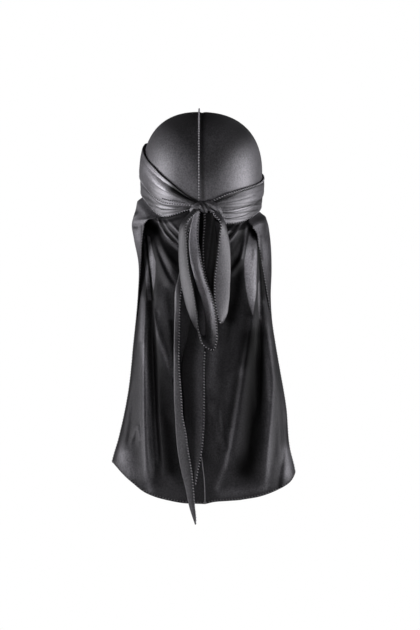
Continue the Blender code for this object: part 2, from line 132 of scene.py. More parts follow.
# Its sections down each side. Column 1 is the share of CAPE_LENGTH below the tie line.
# The y columns are shares of DEPTH_BACK. An x column is 0 at the head's half width and 1 at the foot's.
# down, seam y, outer x, outer y, turn in shares of TURN, fullness
CAPE_LEFT = [
    (-0.064, 0.989, 0.145, 0.147, 0.56, 2.0),
    (0.003, 0.974, 0.235, 0.189, 0.75, 1.9),
    (0.056, 0.989, 0.362, 0.253, 1.00, 1.6),
    (0.109, 1.016, 0.286, 0.337, 1.00, 1.5),
    (0.189, 1.037, 0.128, 0.463, 0.75, 1.8),
    (0.309, 1.053, 0.128, 0.632, 0.38, 2.2),
    (0.469, 1.079, 0.265, 0.716, 0.05, 2.6),
    (0.628, 1.105, 0.426, 0.716, 0.04, 2.8),
    (0.788, 1.137, 0.745, 0.684, 0.04, 2.8),
    (0.874, 1.153, 0.974, 0.653, 0.04, 2.8),
    (1.001, 1.179, 1.013, 0.632, 0.04, 2.8),
]
CAPE_RIGHT = [
    (-0.016, 0.974, 0.029, 0.147, 0.56, 2.0),
    (0.029, 0.979, 0.115, 0.211, 0.75, 1.9),
    (0.064, 0.995, 0.204, 0.274, 0.88, 1.8),
    (0.096, 1.011, 0.243, 0.326, 1.00, 1.8),
    (0.133, 1.021, 0.273, 0.379, 1.00, 2.0),
    (0.218, 1.042, 0.287, 0.484, 0.88, 2.2),
    (0.309, 1.053, 0.251, 0.611, 0.62, 2.4),
    (0.402, 1.068, 0.297, 0.695, 0.12, 2.6),
    (0.525, 1.089, 0.477, 0.716, 0.04, 2.8),
    (0.684, 1.116, 0.727, 0.695, 0.04, 2.8),
    (0.828, 1.142, 0.853, 0.653, 0.04, 2.8),
    (0.897, 1.158, 1.007, 0.632, 0.04, 2.8),
    (1.001, 1.179, 1.025, 0.632, 0.04, 2.8),
]
# Top and bottom of the cape
# share of the way from seam to side hem, top in shares of RISE, foot as down above
CAPE_ENDS_LEFT = [
    (0.00, -1.550, 1.000),
    (0.20, -1.519, 0.997),
    (0.40, -1.419, 0.985),
    (0.55, -1.337, 0.967),
    (0.64, -1.400, 0.951),
    (0.71, -1.406, 0.935),
    (0.80, -1.456, 0.915),
    (0.90, -1.625, 0.893),
    (1.00, -1.794, 0.874),
]
CAPE_ENDS_RIGHT = [
    (0.00, -1.550, 1.000),
    (0.08, -1.594, 0.993),
    (0.20, -1.631, 0.989),
    (0.45, -1.613, 0.987),
    (0.60, -1.613, 0.976),
    (0.71, -1.644, 0.961),
    (0.80, -1.688, 0.947),
    (0.90, -1.788, 0.925),
    (1.00, -1.900, 0.904),
]
# Raised folds of the cape. An x is a share of that side's foot, down is as above, and half width is as x.
# x, down at the top, x, down half way, x, down at the foot, half width, rise in shares of FOLD_RISE
FOLD_RISE = 6.0
FOLD_CLEAR = 12.0
CAPE_FOLDS = [
    (0.634, 0.304, 0.625, 0.602, 0.589, 0.948, 0.071, 1.00),
    (0.509, 0.336, 0.491, 0.628, 0.464, 0.921, 0.054, -0.50),
    (0.446, 0.069, 0.304, 0.202, 0.179, 0.368, 0.062, 0.42),
    (0.250, 0.469, 0.214, 0.575, 0.125, 0.788, 0.071, 0.33),
    (-0.697, 0.368, -0.762, 0.535, -0.705, 0.842, 0.066, 0.83),
    (-0.541, 0.349, -0.426, 0.655, -0.279, 0.868, 0.066, 0.58),
    (-0.426, 0.075, -0.328, 0.149, -0.246, 0.242, 0.057, 0.42),
]
# Sideways run of the cape's centre seam: down, x in shares of FOOT_LEFT
SEAM_RUN = [
    (0.000, 0.000),
    (0.735, 0.000),
    (0.836, -0.027),
    (0.921, -0.062),
    (1.001, -0.071),
]

# The knot
KNOT_X = -9.5
KNOT_SHARE = 1.6
KNOT_DEEP = 6.0

# The bow's loops, down one side and up the other, by their near and far edges
LOOP_LEFT_LENGTH = 181.0
LOOP_RIGHT_LENGTH = 145.0
BOW_HALF = 34.0
BOW_STAND = 20.0
# across in shares of BOW_HALF from the knot, off the cape in shares of BOW_STAND, down in shares of length
# near across, near off, near down, far across, far off, far down
LOOP_LEFT = [
    (0.294, 0.643, 0.025, 0.471, 0.557, 0.012),
    (0.709, 1.013, 0.107, 0.932, 0.759, 0.118),
    (0.706, 1.149, 0.266, 1.009, 0.660, 0.264),
    (0.632, 1.069, 0.425, 0.988, 0.425, 0.423),
    (0.450, 1.030, 0.597, 0.859, 0.244, 0.596),
    (0.341, 0.973, 0.748, 0.656, 0.218, 0.734),
    (0.285, 0.897, 0.879, 0.362, 0.211, 0.845),
    (0.085, 0.834, 0.968, 0.159, 0.213, 0.893),
    (-0.244, 0.727, 0.999, -0.006, 0.217, 0.887),
    (-0.400, 0.707, 0.941, -0.018, 0.248, 0.810),
    (-0.406, 0.762, 0.817, 0.050, 0.284, 0.720),
    (-0.244, 0.882, 0.638, 0.215, 0.298, 0.610),
    (0.012, 0.905, 0.501, 0.418, 0.306, 0.499),
    (0.197, 0.817, 0.341, 0.600, 0.389, 0.347),
    (0.315, 0.598, 0.182, 0.621, 0.492, 0.187),
    (0.235, 0.487, 0.030, 0.415, 0.424, 0.019),
]
LOOP_RIGHT = [
    (-0.235, 0.752, 0.051, -0.441, 0.704, 0.046),
    (-0.488, 1.146, 0.133, -0.632, 0.814, 0.104),
    (-0.465, 1.103, 0.246, -0.818, 0.715, 0.260),
    (-0.374, 0.937, 0.435, -0.888, 0.464, 0.432),
    (-0.265, 0.822, 0.650, -0.876, 0.412, 0.666),
    (-0.282, 0.776, 0.822, -0.832, 0.367, 0.821),
    (-0.391, 0.690, 0.943, -0.724, 0.326, 0.951),
    (-0.485, 0.501, 0.999, -0.594, 0.262, 0.999),
    (-0.412, 0.317, 0.943, -0.559, 0.186, 0.934),
    (-0.265, 0.331, 0.804, -0.541, 0.216, 0.804),
    (-0.135, 0.365, 0.546, -0.468, 0.237, 0.545),
    (-0.118, 0.457, 0.286, -0.394, 0.418, 0.286),
    (-0.126, 0.497, 0.138, -0.321, 0.482, 0.131),
    (-0.074, 0.471, 0.051, -0.235, 0.458, 0.048),
]
# The hanging ends lie on the cape. One crosses over the other, a layer up.
END_LEFT_LENGTH = 396.5
END_RIGHT_LENGTH = 347.7
END_SPREAD = 34.0
LIE_GAP = 1.5
CROSS_GAP = 0.9
# down in shares of the length, left edge and right edge in shares of END_SPREAD from the knot, layer
END_LEFT = [
    (0.007, 0.397, 0.221, 1.67),
    (0.023, 0.515, 0.324, 1.00),
    (0.045, 0.691, 0.485, 0.00),
    (0.103, 0.918, 0.715, 0.00),
    (0.174, 0.935, 0.750, 0.00),
    (0.217, 1.026, 0.841, 0.00),
    (0.262, 1.144, 0.918, 0.10),
    (0.328, 1.168, 0.962, 0.19),
    (0.396, 1.188, 0.988, 0.43),
    (0.484, 1.194, 1.006, 1.00),
    (0.610, 1.182, 0.894, 1.00),
    (0.661, 1.150, 0.856, 1.00),
    (0.714, 1.115, 0.735, 1.00),
    (0.767, 1.059, 0.647, 1.00),
    (0.830, 0.929, 0.526, 1.00),
    (0.895, 0.744, 0.453, 1.00),
    (0.943, 0.632, 0.418, 1.00),
    (0.986, 0.474, 0.374, 1.00),
    (1.000, 0.418, 0.382, 1.00),
]
END_RIGHT = [
    (0.014, 0.124, -0.132, 1.19),
    (0.032, 0.121, -0.174, 0.62),
    (0.083, 0.106, -0.247, 0.00),
    (0.184, 0.235, -0.153, 0.00),
    (0.336, 0.529, -0.062, 0.00),
    (0.480, 0.750, -0.024, 0.00),
    (0.558, 0.915, 0.012, 0.00),
    (0.696, 0.859, 0.021, 0.00),
    (0.800, 0.803, 0.050, 0.00),
    (0.892, 0.691, 0.159, 0.00),
    (0.961, 0.562, 0.321, 0.00),
    (1.000, 0.453, 0.403, 0.00),
]


def along(rows, key):
    """A smooth curve through a table's rows, read at its first column. It holds still beyond both ends."""
    table = np.array(sorted(rows), float)
    at, values = table[:, 0], table[:, 1:]
    slope = np.gradient(values, at, axis=0)
    key = np.clip(np.asarray(key, float), at[0], at[-1])
    i = np.clip(np.searchsorted(at, key, side="right") - 1, 0, len(at) - 2)
    span = (at[i + 1] - at[i])[..., None]
    t = (key[..., None] - at[i][..., None]) / span
    a, b = values[i], values[i + 1]
    ka, kb = slope[i] * span, slope[i + 1] * span
    curve = (2 * t**3 - 3 * t**2 + 1) * a + (t**3 - 2 * t**2 + t) * ka
    curve = curve + (3 * t**2 - 2 * t**3) * b + (t**3 - t**2) * kb
    return np.moveaxis(curve, -1, 0)


def ease(value):
    value = np.clip(value, 0, 1)
    return value * value * (3 - 2 * value)


def plan_reach(azimuth, off):
    """Half size of the head hollow's widest section in a direction, plus off."""
    across, along_y = np.sin(azimuth), np.cos(azimuth)
    half_x = np.where(across > 0, HALF_LEFT, HALF_RIGHT) + off
    half_y = np.where(along_y > 0, DEPTH_BACK, DEPTH_FRONT) + off
    sum_of = np.abs(across / half_x) ** PLAN_POWER + np.abs(along_y / half_y) ** PLAN_POWER
    return sum_of ** (-1 / PLAN_POWER)


def share_at(z, off):
    """How wide the hollow is at a height, as a share of its widest."""
    tall = np.where(z > WIDEST_Z, RISE, DROP) + off
    left = 1 - np.abs((z - WIDEST_Z) / tall) ** SIDE_POWER
    return np.clip(left, 0, 1) ** (1 / SIDE_POWER)


def head_at(azimuth, z, off):
    """A point off the head hollow, from its azimuth and height."""
    reach = plan_reach(azimuth, off) * share_at(z, off)
    return np.stack([reach * np.sin(azimuth), reach * np.cos(azimuth), z + 0 * reach], -1)


def dome_at(azimuth, tilt, off):
    """A point off the head hollow, from its azimuth and its angle from straight up."""
    reach = plan_reach(azimuth, off)
    tall = np.where(np.cos(tilt) > 0, RISE, DROP) + off
    sum_of = np.abs(np.sin(tilt) / reach) ** SIDE_POWER + np.abs(np.cos(tilt) / tall) ** SIDE_POWER
    ray = sum_of ** (-1 / SIDE_POWER)
    flat = ray * np.sin(tilt)
    return np.stack(
        [flat * np.sin(azimuth), flat * np.cos(azimuth), WIDEST_Z + ray * np.cos(tilt)], -1
    )


def rim_tilt(azimuth):
    """Angle from straight up at which the crown ends."""
    degrees = (np.degrees(azimuth) + 180) % 360 - 180
    z = RISE * along(CROWN_RIM, degrees)[0]
    return np.arctan2(plan_reach(azimuth, 0) * share_at(z, 0), z - WIDEST_Z)


def grid(across, down):
    return np.meshgrid(np.linspace(0, 1, across + 1), np.linspace(0, 1, down + 1), indexing="ij")


def facing(points):
    """Unit normals of a grid of points."""
    normal = np.cross(np.gradient(points, axis=0), np.gradient(points, axis=1))
    return normal / np.maximum(np.linalg.norm(normal, axis=-1, keepdims=True), 1e-9)


def thick(points, wall=WALL):
    """The two faces of a sheet of cloth round its middle surface."""
    shift = facing(points) * wall / 2
    return points + shift, points - shift


def edge_tilt(azimuth, share):
    """Angle from straight up of a band's edge that is given in shares of RISE."""
    z = RISE * share
    return np.arctan2(plan_reach(azimuth, 0) * share_at(z, 0), z - WIDEST_Z)


def crown_seam(steps=44):
    """The raised seam over the crown, flattened where the front band and the knot cover it."""
    front = rim_tilt(np.array(np.pi))
    back = rim_tilt(np.array(0.0))
    u, v = grid(steps, 1)
    angle = -front + u * (front + back)
    azimuth = np.where(angle < 0, np.pi, 0.0)
    bare_front = edge_tilt(np.array(np.pi), along(FRONT_HEM, 180)[0])
    bare_back = edge_tilt(np.array(0.0), STRAP_LEFT[0][1])
    stand = SEAM_STAND * ease((angle + bare_front) * 14) * ease((bare_back - angle) * 14)
    points = dome_at(azimuth, np.abs(angle), v * (WALL + stand))
    faces = []
    for x in (SEAM_HALF, -SEAM_HALF):
        face = points.copy()
        face[..., 0] = x
        faces.append(face)
    return faces


def front_hem(across=18, down=6):
    u, v = grid(across, down)
    start, end = FRONT_HEM[0][0], FRONT_HEM[-1][0]
    degrees = start + (end - start) * u
    upper, lower = RISE * along(FRONT_HEM, degrees)
    z = upper + (lower - upper) * v
    azimuth = np.radians(degrees)
    return [head_at(azimuth, z, 2 * WALL + GAP), head_at(azimuth, z, WALL + GAP)]


def cape_row(side, z):
    """The cape's section at a height: seam y, outer x, outer y, turn, fullness."""
    half, foot = (HALF_LEFT, FOOT_LEFT) if side > 0 else (HALF_RIGHT, FOOT_RIGHT)
    table = CAPE_LEFT if side > 0 else CAPE_RIGHT
    y_seam, x_out, y_out, turn, power = along(table, (TIE_Z - z) / CAPE_LENGTH)
    return [y_seam * DEPTH_BACK, half + x_out * (foot - half), y_out * DEPTH_BACK, turn * TURN, power]


def fold_rise(x, z):
    """How far the cape's folds stand out at a place."""
    rise = np.zeros(np.shape(x))
    down = (TIE_Z - z) / CAPE_LENGTH
    for x_top, top, x_mid, mid, x_foot, foot, half, height in CAPE_FOLDS:
        wide = FOOT_LEFT if x_top > 0 else FOOT_RIGHT
        line = wide * along([(top, x_top), (mid, x_mid), (foot, x_foot)], down)[0]
        fade = ease((down - top) / 0.08 + 0.5) * ease((foot - down) / 0.11 + 0.5)
        rise = rise + FOLD_RISE * height * fade * np.exp(-(((x - line) / (half * wide)) ** 2))
    return rise


def cape_back(x, z):
    """The cape's outer face as a height in y, for what lies on it."""
    left = cape_row(1, z)
    right = cape_row(-1, z)
    y_seam, x_out, y_out, turn, power = [np.where(x > 0, a, b) for a, b in zip(left, right)]
    near = np.clip(np.abs(x) / (x_out - turn), 0, 0.98)
    y = y_out + (y_seam - y_out) * (1 - near**power) ** (1 / power)
    return y + fold_rise(x, z) + WALL / 2


def seam_x(z):
    """How far the cape's centre seam runs to one side at a height."""
    return FOOT_LEFT * along(SEAM_RUN, (TIE_Z - z) / CAPE_LENGTH)[0]


def cape_seam(steps=40):
    u, v = grid(steps, 1)
    z = TIE_Z - SEAM_START - u * (CAPE_LENGTH - SEAM_START)
    x, y, _ = cape_skin(1, 0 * u, z)
    x = seam_x(z)
    y = y - CLOTH / 2 + v * (CLOTH + CAPE_SEAM_STAND)
    return [np.stack([x + SEAM_HALF, y, z], -1), np.stack([x - SEAM_HALF, y, z], -1)]


def knot_centre():
    """The middle of the knot, seated on the band's outer face."""
    z = -KNOT_SHARE * RISE
    face = head_at(np.arctan2(KNOT_X, DEPTH_BACK), z, 2 * WALL + GAP + BAND_LIFT)
    return KNOT_X, face[1] + 0.95 * KNOT_DEEP, z


def bow_loop(table, length, steps, across=3):
    """One loop of the bow, a length of strap between its two edges."""
    u, v = grid(steps, across)
    table = np.array(table, float)
    _, _, top = knot_centre()
    edges = []
    for near, off, down in (table[:, :3].T, table[:, 3:].T):
        x = KNOT_X + BOW_HALF * near
        z = top - length * down
        edges.append(np.stack([x, cape_back(x, z) + BOW_STAND * off, z], -1))
    middle = (edges[0] + edges[1]) / 2
    run = np.concatenate([[0], np.cumsum(np.linalg.norm(np.diff(middle, axis=0), axis=1))])
    line = along(np.column_stack([run, edges[0], edges[1]]).tolist(), u * run[-1])
    near, far = np.moveaxis(line[:3], 0, -1), np.moveaxis(line[3:], 0, -1)
    return thick(near + (far - near) * v[..., None])


def hanging_end(table, length, steps, across=3):
    """The loose end of a strap, lying on the cape."""
    u, v = grid(steps, across)
    down = table[0][0] + (table[-1][0] - table[0][0]) * u
    left, right, layer = along(table, down)
    z = knot_centre()[2] - length * down
    x = KNOT_X + END_SPREAD * (left + (right - left) * v)
    rise = WALL / 2 + LIE_GAP + layer * (WALL + CROSS_GAP)
    return thick(np.stack([x, cape_back(x, z) + rise, z], -1))


# Cloth and thread in the scene
CLOTH = 0.7
PANEL_MEET = 0.04
PLEAT_SHARP = 0.03
STRAP_LAP = 1.6
LAP_CLEAR = 0.3
EYE = (-14.1, 2400.0, -263.4)
PER_PIXEL = 1.31
FLOOR_DROP = -1.45


def seen(column, row, depth=92.0):
    """x and z, at a depth in y, of a place in the 420 by 630 frame."""
    scale = PER_PIXEL * (1 - depth / EYE[1])
    return EYE[0] + (210 - column) * scale, EYE[2] - (row - 315) * scale


# Folds of the cape by their place in the frame
# points along the crest, width to the left, width to the right, rise
FOLDS = [
    # left panel: the side column, the long diagonals and the swags under the band
    ([(146, 232), (146, 262), (146, 300), (145, 340), (145, 400), (146, 440), (150, 500)], 5.0, 2.6, 4.4),
    ([(152, 236), (152, 262), (152, 300), (153, 340), (155, 400), (158, 450), (162, 490)], 2.6, 7.5, -4.6),
    ([(157, 217), (160, 225), (166, 234), (174, 243), (190, 254)], 0.9, 2.2, 1.5),
    ([(161, 216), (166, 225), (172, 233), (181, 242), (190, 249)], 0.8, 1.6, 1.0),
    ([(167, 216), (172, 223), (180, 232), (190, 240)], 0.8, 1.6, 1.0),
    ([(150, 230), (154, 246), (160, 262), (168, 278), (178, 292)], 2.2, 5.0, 3.2),
    ([(156, 228), (161, 244), (169, 258), (180, 270)], 2.4, 4.0, 1.8),
    ([(150, 292), (154, 316), (160, 338), (168, 362), (174, 388), (178, 420)], 3.0, 9.0, 4.4),
    ([(130, 448), (134, 434), (137, 426), (139, 434), (140, 448)], 2.4, 2.0, 1.2),
    ([(134, 380), (132, 420), (128, 452)], 5.6, 3.6, -2.0),
    ([(164, 282), (169, 320), (176, 360), (182, 400)], 3.6, 6.0, 2.2),
    ([(160, 400), (163, 450), (170, 490)], 5.0, 10.0, 2.0),
    ([(172, 410), (178, 450), (184, 486)], 4.0, 6.0, -1.6),
    ([(190, 376), (189, 420), (190, 460)], 6.0, 6.0, -2.2),
    # right panel
    ([(243, 223), (237, 231), (229, 240), (220, 248)], 2.6, 1.0, 2.0),
    ([(236, 222), (231, 228), (222, 236)], 1.8, 1.0, 1.4),
    ([(247, 225), (245, 242), (241, 258), (232, 272), (222, 282)], 3.4, 2.0, 2.4),
    ([(255, 300), (252, 326), (248, 350), (244, 376), (240, 400), (230, 452), (217, 486)], 12.0, 3.0, 5.0),
    ([(258, 236), (259, 280), (260, 330), (259, 380), (258, 430)], 2.6, 3.2, -3.4),
    ([(240, 262), (236, 290), (234, 330)], 4.0, 5.0, -1.8),
    ([(258, 340), (255, 385), (252, 430), (247, 470)], 6.0, 8.0, -3.0),
    ([(269, 300), (270, 340), (272, 380), (270, 420), (266, 455), (262, 496)], 4.0, 7.0, 3.6),
    ([(214, 392), (218, 420), (224, 446), (228, 470)], 3.4, 4.6, 1.6),
    ([(224, 360), (219, 410), (214, 466)], 4.0, 4.0, 2.0),
    ([(209, 352), (210, 400), (211, 460)], 3.0, 4.0, 1.6),
    ([(236, 300), (231, 340), (227, 380)], 4.0, 3.0, 1.8),
    ([(275, 360), (279, 410), (280, 470)], 3.0, 4.0, 2.0),
    ([(283, 396), (284, 440), (280, 470), (276, 500)], 3.0, 5.6, -2.2),
    ([(230, 262), (225, 290), (222, 322)], 5.0, 5.0, -2.6),
]
# The turned-back hem at each side: share of CAPE_LENGTH below the tie line, x, y
HEM_LEFT = [
    (0.020, 36.0, 88.0),
    (0.036, 44.0, 84.0),
    (0.044, 60.0, 72.0),
    (0.056, 68.0, 62.0),
    (0.075, 70.0, 62.0),
    (0.109, 71.8, 64.0),
    (0.189, 74.0, 66.0),
    (0.309, 77.2, 69.0),
    (0.469, 82.9, 69.0),
    (0.628, 89.3, 69.0),
    (0.788, 101.8, 66.0),
    (0.874, 110.8, 63.0),
    (1.001, 112.3, 61.0),
]
HEM_RIGHT = [
    (0.030, 50.0, 82.0),
    (0.052, 57.0, 76.0),
    (0.064, 63.5, 68.0),
    (0.082, 71.0, 62.0),
    (0.105, 74.5, 62.0),
    (0.133, 75.5, 63.0),
    (0.218, 81.0, 66.0),
    (0.309, 87.0, 68.0),
    (0.402, 93.0, 69.0),
    (0.525, 100.5, 69.0),
    (0.684, 110.7, 67.0),
    (0.828, 115.8, 63.0),
    (0.897, 122.1, 61.0),
    (1.001, 122.8, 61.0),
]
# How much higher the lower hem is than in the solids, which makes its corners pointed
# share of the way from seam to side hem, lift
HEM_LIFT_LEFT = [
    (0.00, 0.0),
    (0.20, 0.4),
    (0.30, 1.8),
    (0.40, 3.2),
    (0.50, 5.8),
    (0.60, 10.0),
    (0.70, 12.2),
    (0.80, 13.2),
    (0.85, 11.8),
    (0.90, 8.6),
    (0.95, 4.8),
    (1.00, 1.2),
]
HEM_LIFT_RIGHT = [
    (0.00, 0.0),
    (0.30, 0.2),
    (0.40, 2.0),
    (0.50, 2.6),
    (0.60, 3.8),
    (0.70, 4.3),
    (0.80, 5.6),
    (0.85, 6.3),
    (0.90, 5.6),
    (0.95, 3.0),
    (1.00, 0.2),
]
# Which edge of each strap is overlocked: 0 is its first edge and 1 its other one
STITCHED = [("loop_left", 0), ("loop_right", 0), ("end_left", 1), ("end_right", 1)]
# Hollows behind the turned-back hems: side, x, z, half width, half height, depth
POCKETS = [
    (1, 57.0, -156.0, 13.0, 14.0, 13.0),
    (-1, 67.0, -158.0, 8.0, 12.0, 10.0),
]
# The cape's section: samples of its back, its turn and its hem
# and how far off the head each of them lies under the band
BACK_STEPS = 72
TURN_STEPS = 10
HEM_STEPS = 24
BACK_OFF = 0.4
TURN_OFF = 0.08
HEM_OFF = 1.2
TURN_DEEP = 0.7
HEM_CURVE = 1.6
HELD_EDGE = 1.0
HELD_FADE = 8.0
# The cape's folds: rows bunch a little towards the top, and folds start below the tie line
ROW_POWER = 1.1
SOLID_FOLDS = 0.6
CREST_STEPS = 25
CREST_FADE = 5
FOLD_START = 6.0
FOLD_FADE = 30.0
# The cape's tone: painted light on the turned strips, strongest above a row of the frame, and the hems darker
STRIP_LIGHT = 1.6
STRIP_TOP_LIGHT = 5.4
STRIP_ROW = 285
STRIP_FADE = 60
SIDE_HEM_DARK = 0.5
LOWER_HEM_DARK = 0.4
DARKEST = 0.05


def reach_of(points, x, z):
    """Signed distance from a line in x and z, and how far along it the nearest place is, from 0 to 1."""
    nearest = np.full(np.shape(x), 1e9)
    signed = np.zeros(np.shape(x))
    share = np.zeros(np.shape(x))
    steps = np.hypot(*np.diff(points, axis=0).T)
    run = np.concatenate([[0], np.cumsum(steps)])
    for k in range(len(points) - 1):
        ax, az = points[k]
        dx, dz = points[k + 1] - points[k]
        t = ((x - ax) * dx + (z - az) * dz) / steps[k] ** 2
        t = np.clip(t, 0, 1)
        ex, ez = x - ax - t * dx, z - az - t * dz
        far = np.hypot(ex, ez)
        closer = far < nearest
        side = np.sign(ex * dz - ez * dx)
        nearest = np.where(closer, far, nearest)
        signed = np.where(closer, far * side, signed)
        share = np.where(closer, (run[k] + t * steps[k]) / run[-1], share)
    return signed, share


def folds_at(x, z):
    """How far the scene's own folds stand out of the cape."""
    rise = np.zeros(np.shape(x))
    for line, left, right, height in FOLDS:
        corners = np.array([seen(*place) for place in line])
        keys = np.linspace(0, 1, len(corners))
        smooth = along(np.column_stack([keys, corners]).tolist(), np.linspace(0, 1, CREST_STEPS))
        smooth = np.stack(smooth, -1)
        signed, share = reach_of(smooth, x, z)
        width = np.where(signed > 0, left, right) * PER_PIXEL
        fade = ease(share * CREST_FADE) * ease((1 - share) * CREST_FADE)
        rise = rise + height * fade * np.exp(-((signed / width) ** 2))
    return rise


def cape_skin(side, share, z):
    """The cape's middle surface: from the seam round to the side, turned back there and ending at its hem."""
    band = STRAP_LEFT if side > 0 else STRAP_RIGHT
    y_seam, x_out, y_out, turn, power = cape_row(side, z)
    x_hem, y_hem = along(HEM_LEFT if side > 0 else HEM_RIGHT, (TIE_Z - z) / CAPE_LENGTH)
    x_end = x_out - turn
    xs, ys = [], []

    def put(x, y, off):
        azimuth = np.arctan2(x, y)
        lower = RISE * along(band, np.degrees(azimuth))[1]
        free = ease((lower - HELD_EDGE - z) / HELD_FADE)
        held = head_at(side * azimuth, z, off)
        xs.append(np.abs(held[..., 0]) * (1 - free) + x * free)
        ys.append(held[..., 1] * (1 - free) + y * free)

    for k in range(BACK_STEPS + 1):
        angle = np.pi / 2 * k / BACK_STEPS
        x = x_end * np.sin(angle) ** (2 / power)
        y = y_out + (y_seam - y_out) * np.cos(angle) ** (2 / power)
        put(x, y, BACK_OFF)
    for k in range(1, TURN_STEPS + 1):
        angle = np.pi * k / TURN_STEPS
        x = x_end + (x_out - x_end) * (1 - np.cos(angle)) / 2
        put(x, y_out - TURN_DEEP * turn * np.sin(angle), BACK_OFF + TURN_OFF * k)
    for k in range(1, HEM_STEPS + 1):
        t = k / HEM_STEPS
        put(x_out + (x_hem - x_out) * t**HEM_CURVE, y_out + (y_hem - y_out) * t, HEM_OFF)
    xs, ys = np.array(xs), np.array(ys)
    run = np.cumsum(np.hypot(np.diff(xs, axis=0), np.diff(ys, axis=0)), axis=0)
    run = np.concatenate([np.zeros((1,) + z.shape), run])
    want = share * run[-1]
    x, y = xs[0].copy(), ys[0].copy()
    for k in range(len(xs) - 1):
        inside = want >= run[k]
        t = np.clip((want - run[k]) / np.maximum(run[k + 1] - run[k], 1e-9), 0, 1)
        x = np.where(inside, xs[k] + (xs[k + 1] - xs[k]) * t, x)
        y = np.where(inside, ys[k] + (ys[k + 1] - ys[k]) * t, y)
    return x, y, run[BACK_STEPS] / run[-1]


def cape_cloth(side, across, down):
    """One panel of the cape with its folds, from the seam to the side hem."""
    u, v = grid(across, down)
    ends = CAPE_ENDS_LEFT if side > 0 else CAPE_ENDS_RIGHT
    top, foot = along(ends, u)
    top = RISE * top
    lift = along(HEM_LIFT_LEFT if side > 0 else HEM_LIFT_RIGHT, u)[0]
    z = top + (TIE_Z - CAPE_LENGTH * foot + lift - top) * v**ROW_POWER
    x, y, main_share = cape_skin(side, u, z)
    half = HALF_LEFT if side > 0 else HALF_RIGHT
    x = side * (x + PANEL_MEET * (1 - np.clip(x / half, 0, 1)))
    near_seam = ease(np.abs(x) / FOLD_CLEAR)
    main = ease((main_share - u) * 8)
    below = ease((TIE_Z - FOLD_START - z) / FOLD_FADE)
    y = y + (SOLID_FOLDS * fold_rise(x, z) + folds_at(x, z) * below) * main * near_seam
    for where, at_x, at_z, wide, tall, deep in POCKETS:
        if where == side:
            y = y - deep * main * np.exp(-(((np.abs(x) - at_x) / wide) ** 2) - ((z - at_z) / tall) ** 2)
    x = x + seam_x(z) * ease(1 - np.abs(x) / half)
    points = np.stack([x, y, z], -1)
    outer, inner = thick(points, CLOTH)
    for face in (outer, inner):
        face[0, :, 0] = points[0, :, 0]
    # Painted light and shade: strokes and lit or shaded parts on the main panel, painted light on the turned
    # strip, painted shadow under the strap's lower edge, and darker hems
    turned = ease((u - main_share) * 30)
    row = in_frame(points)[1]
    tone = painted_shading_of([points], CAPE_PAINTED_SHADING) * part_tone(points, CAPE_PARTS) * (1 - turned)
    light = STRIP_LIGHT + STRIP_TOP_LIGHT * ease((STRIP_ROW - row) / STRIP_FADE)
    tone += turned * painted_shading_of([points], FLAP_PAINTED_SHADING) * light
    tone *= shaded_below(points, side, STRAP_LEFT if side > 0 else STRAP_RIGHT)
    tone[:, -2:] *= LOWER_HEM_DARK
    tone[-2:] *= SIDE_HEM_DARK
    return [outer, inner], np.maximum(tone, DARKEST)
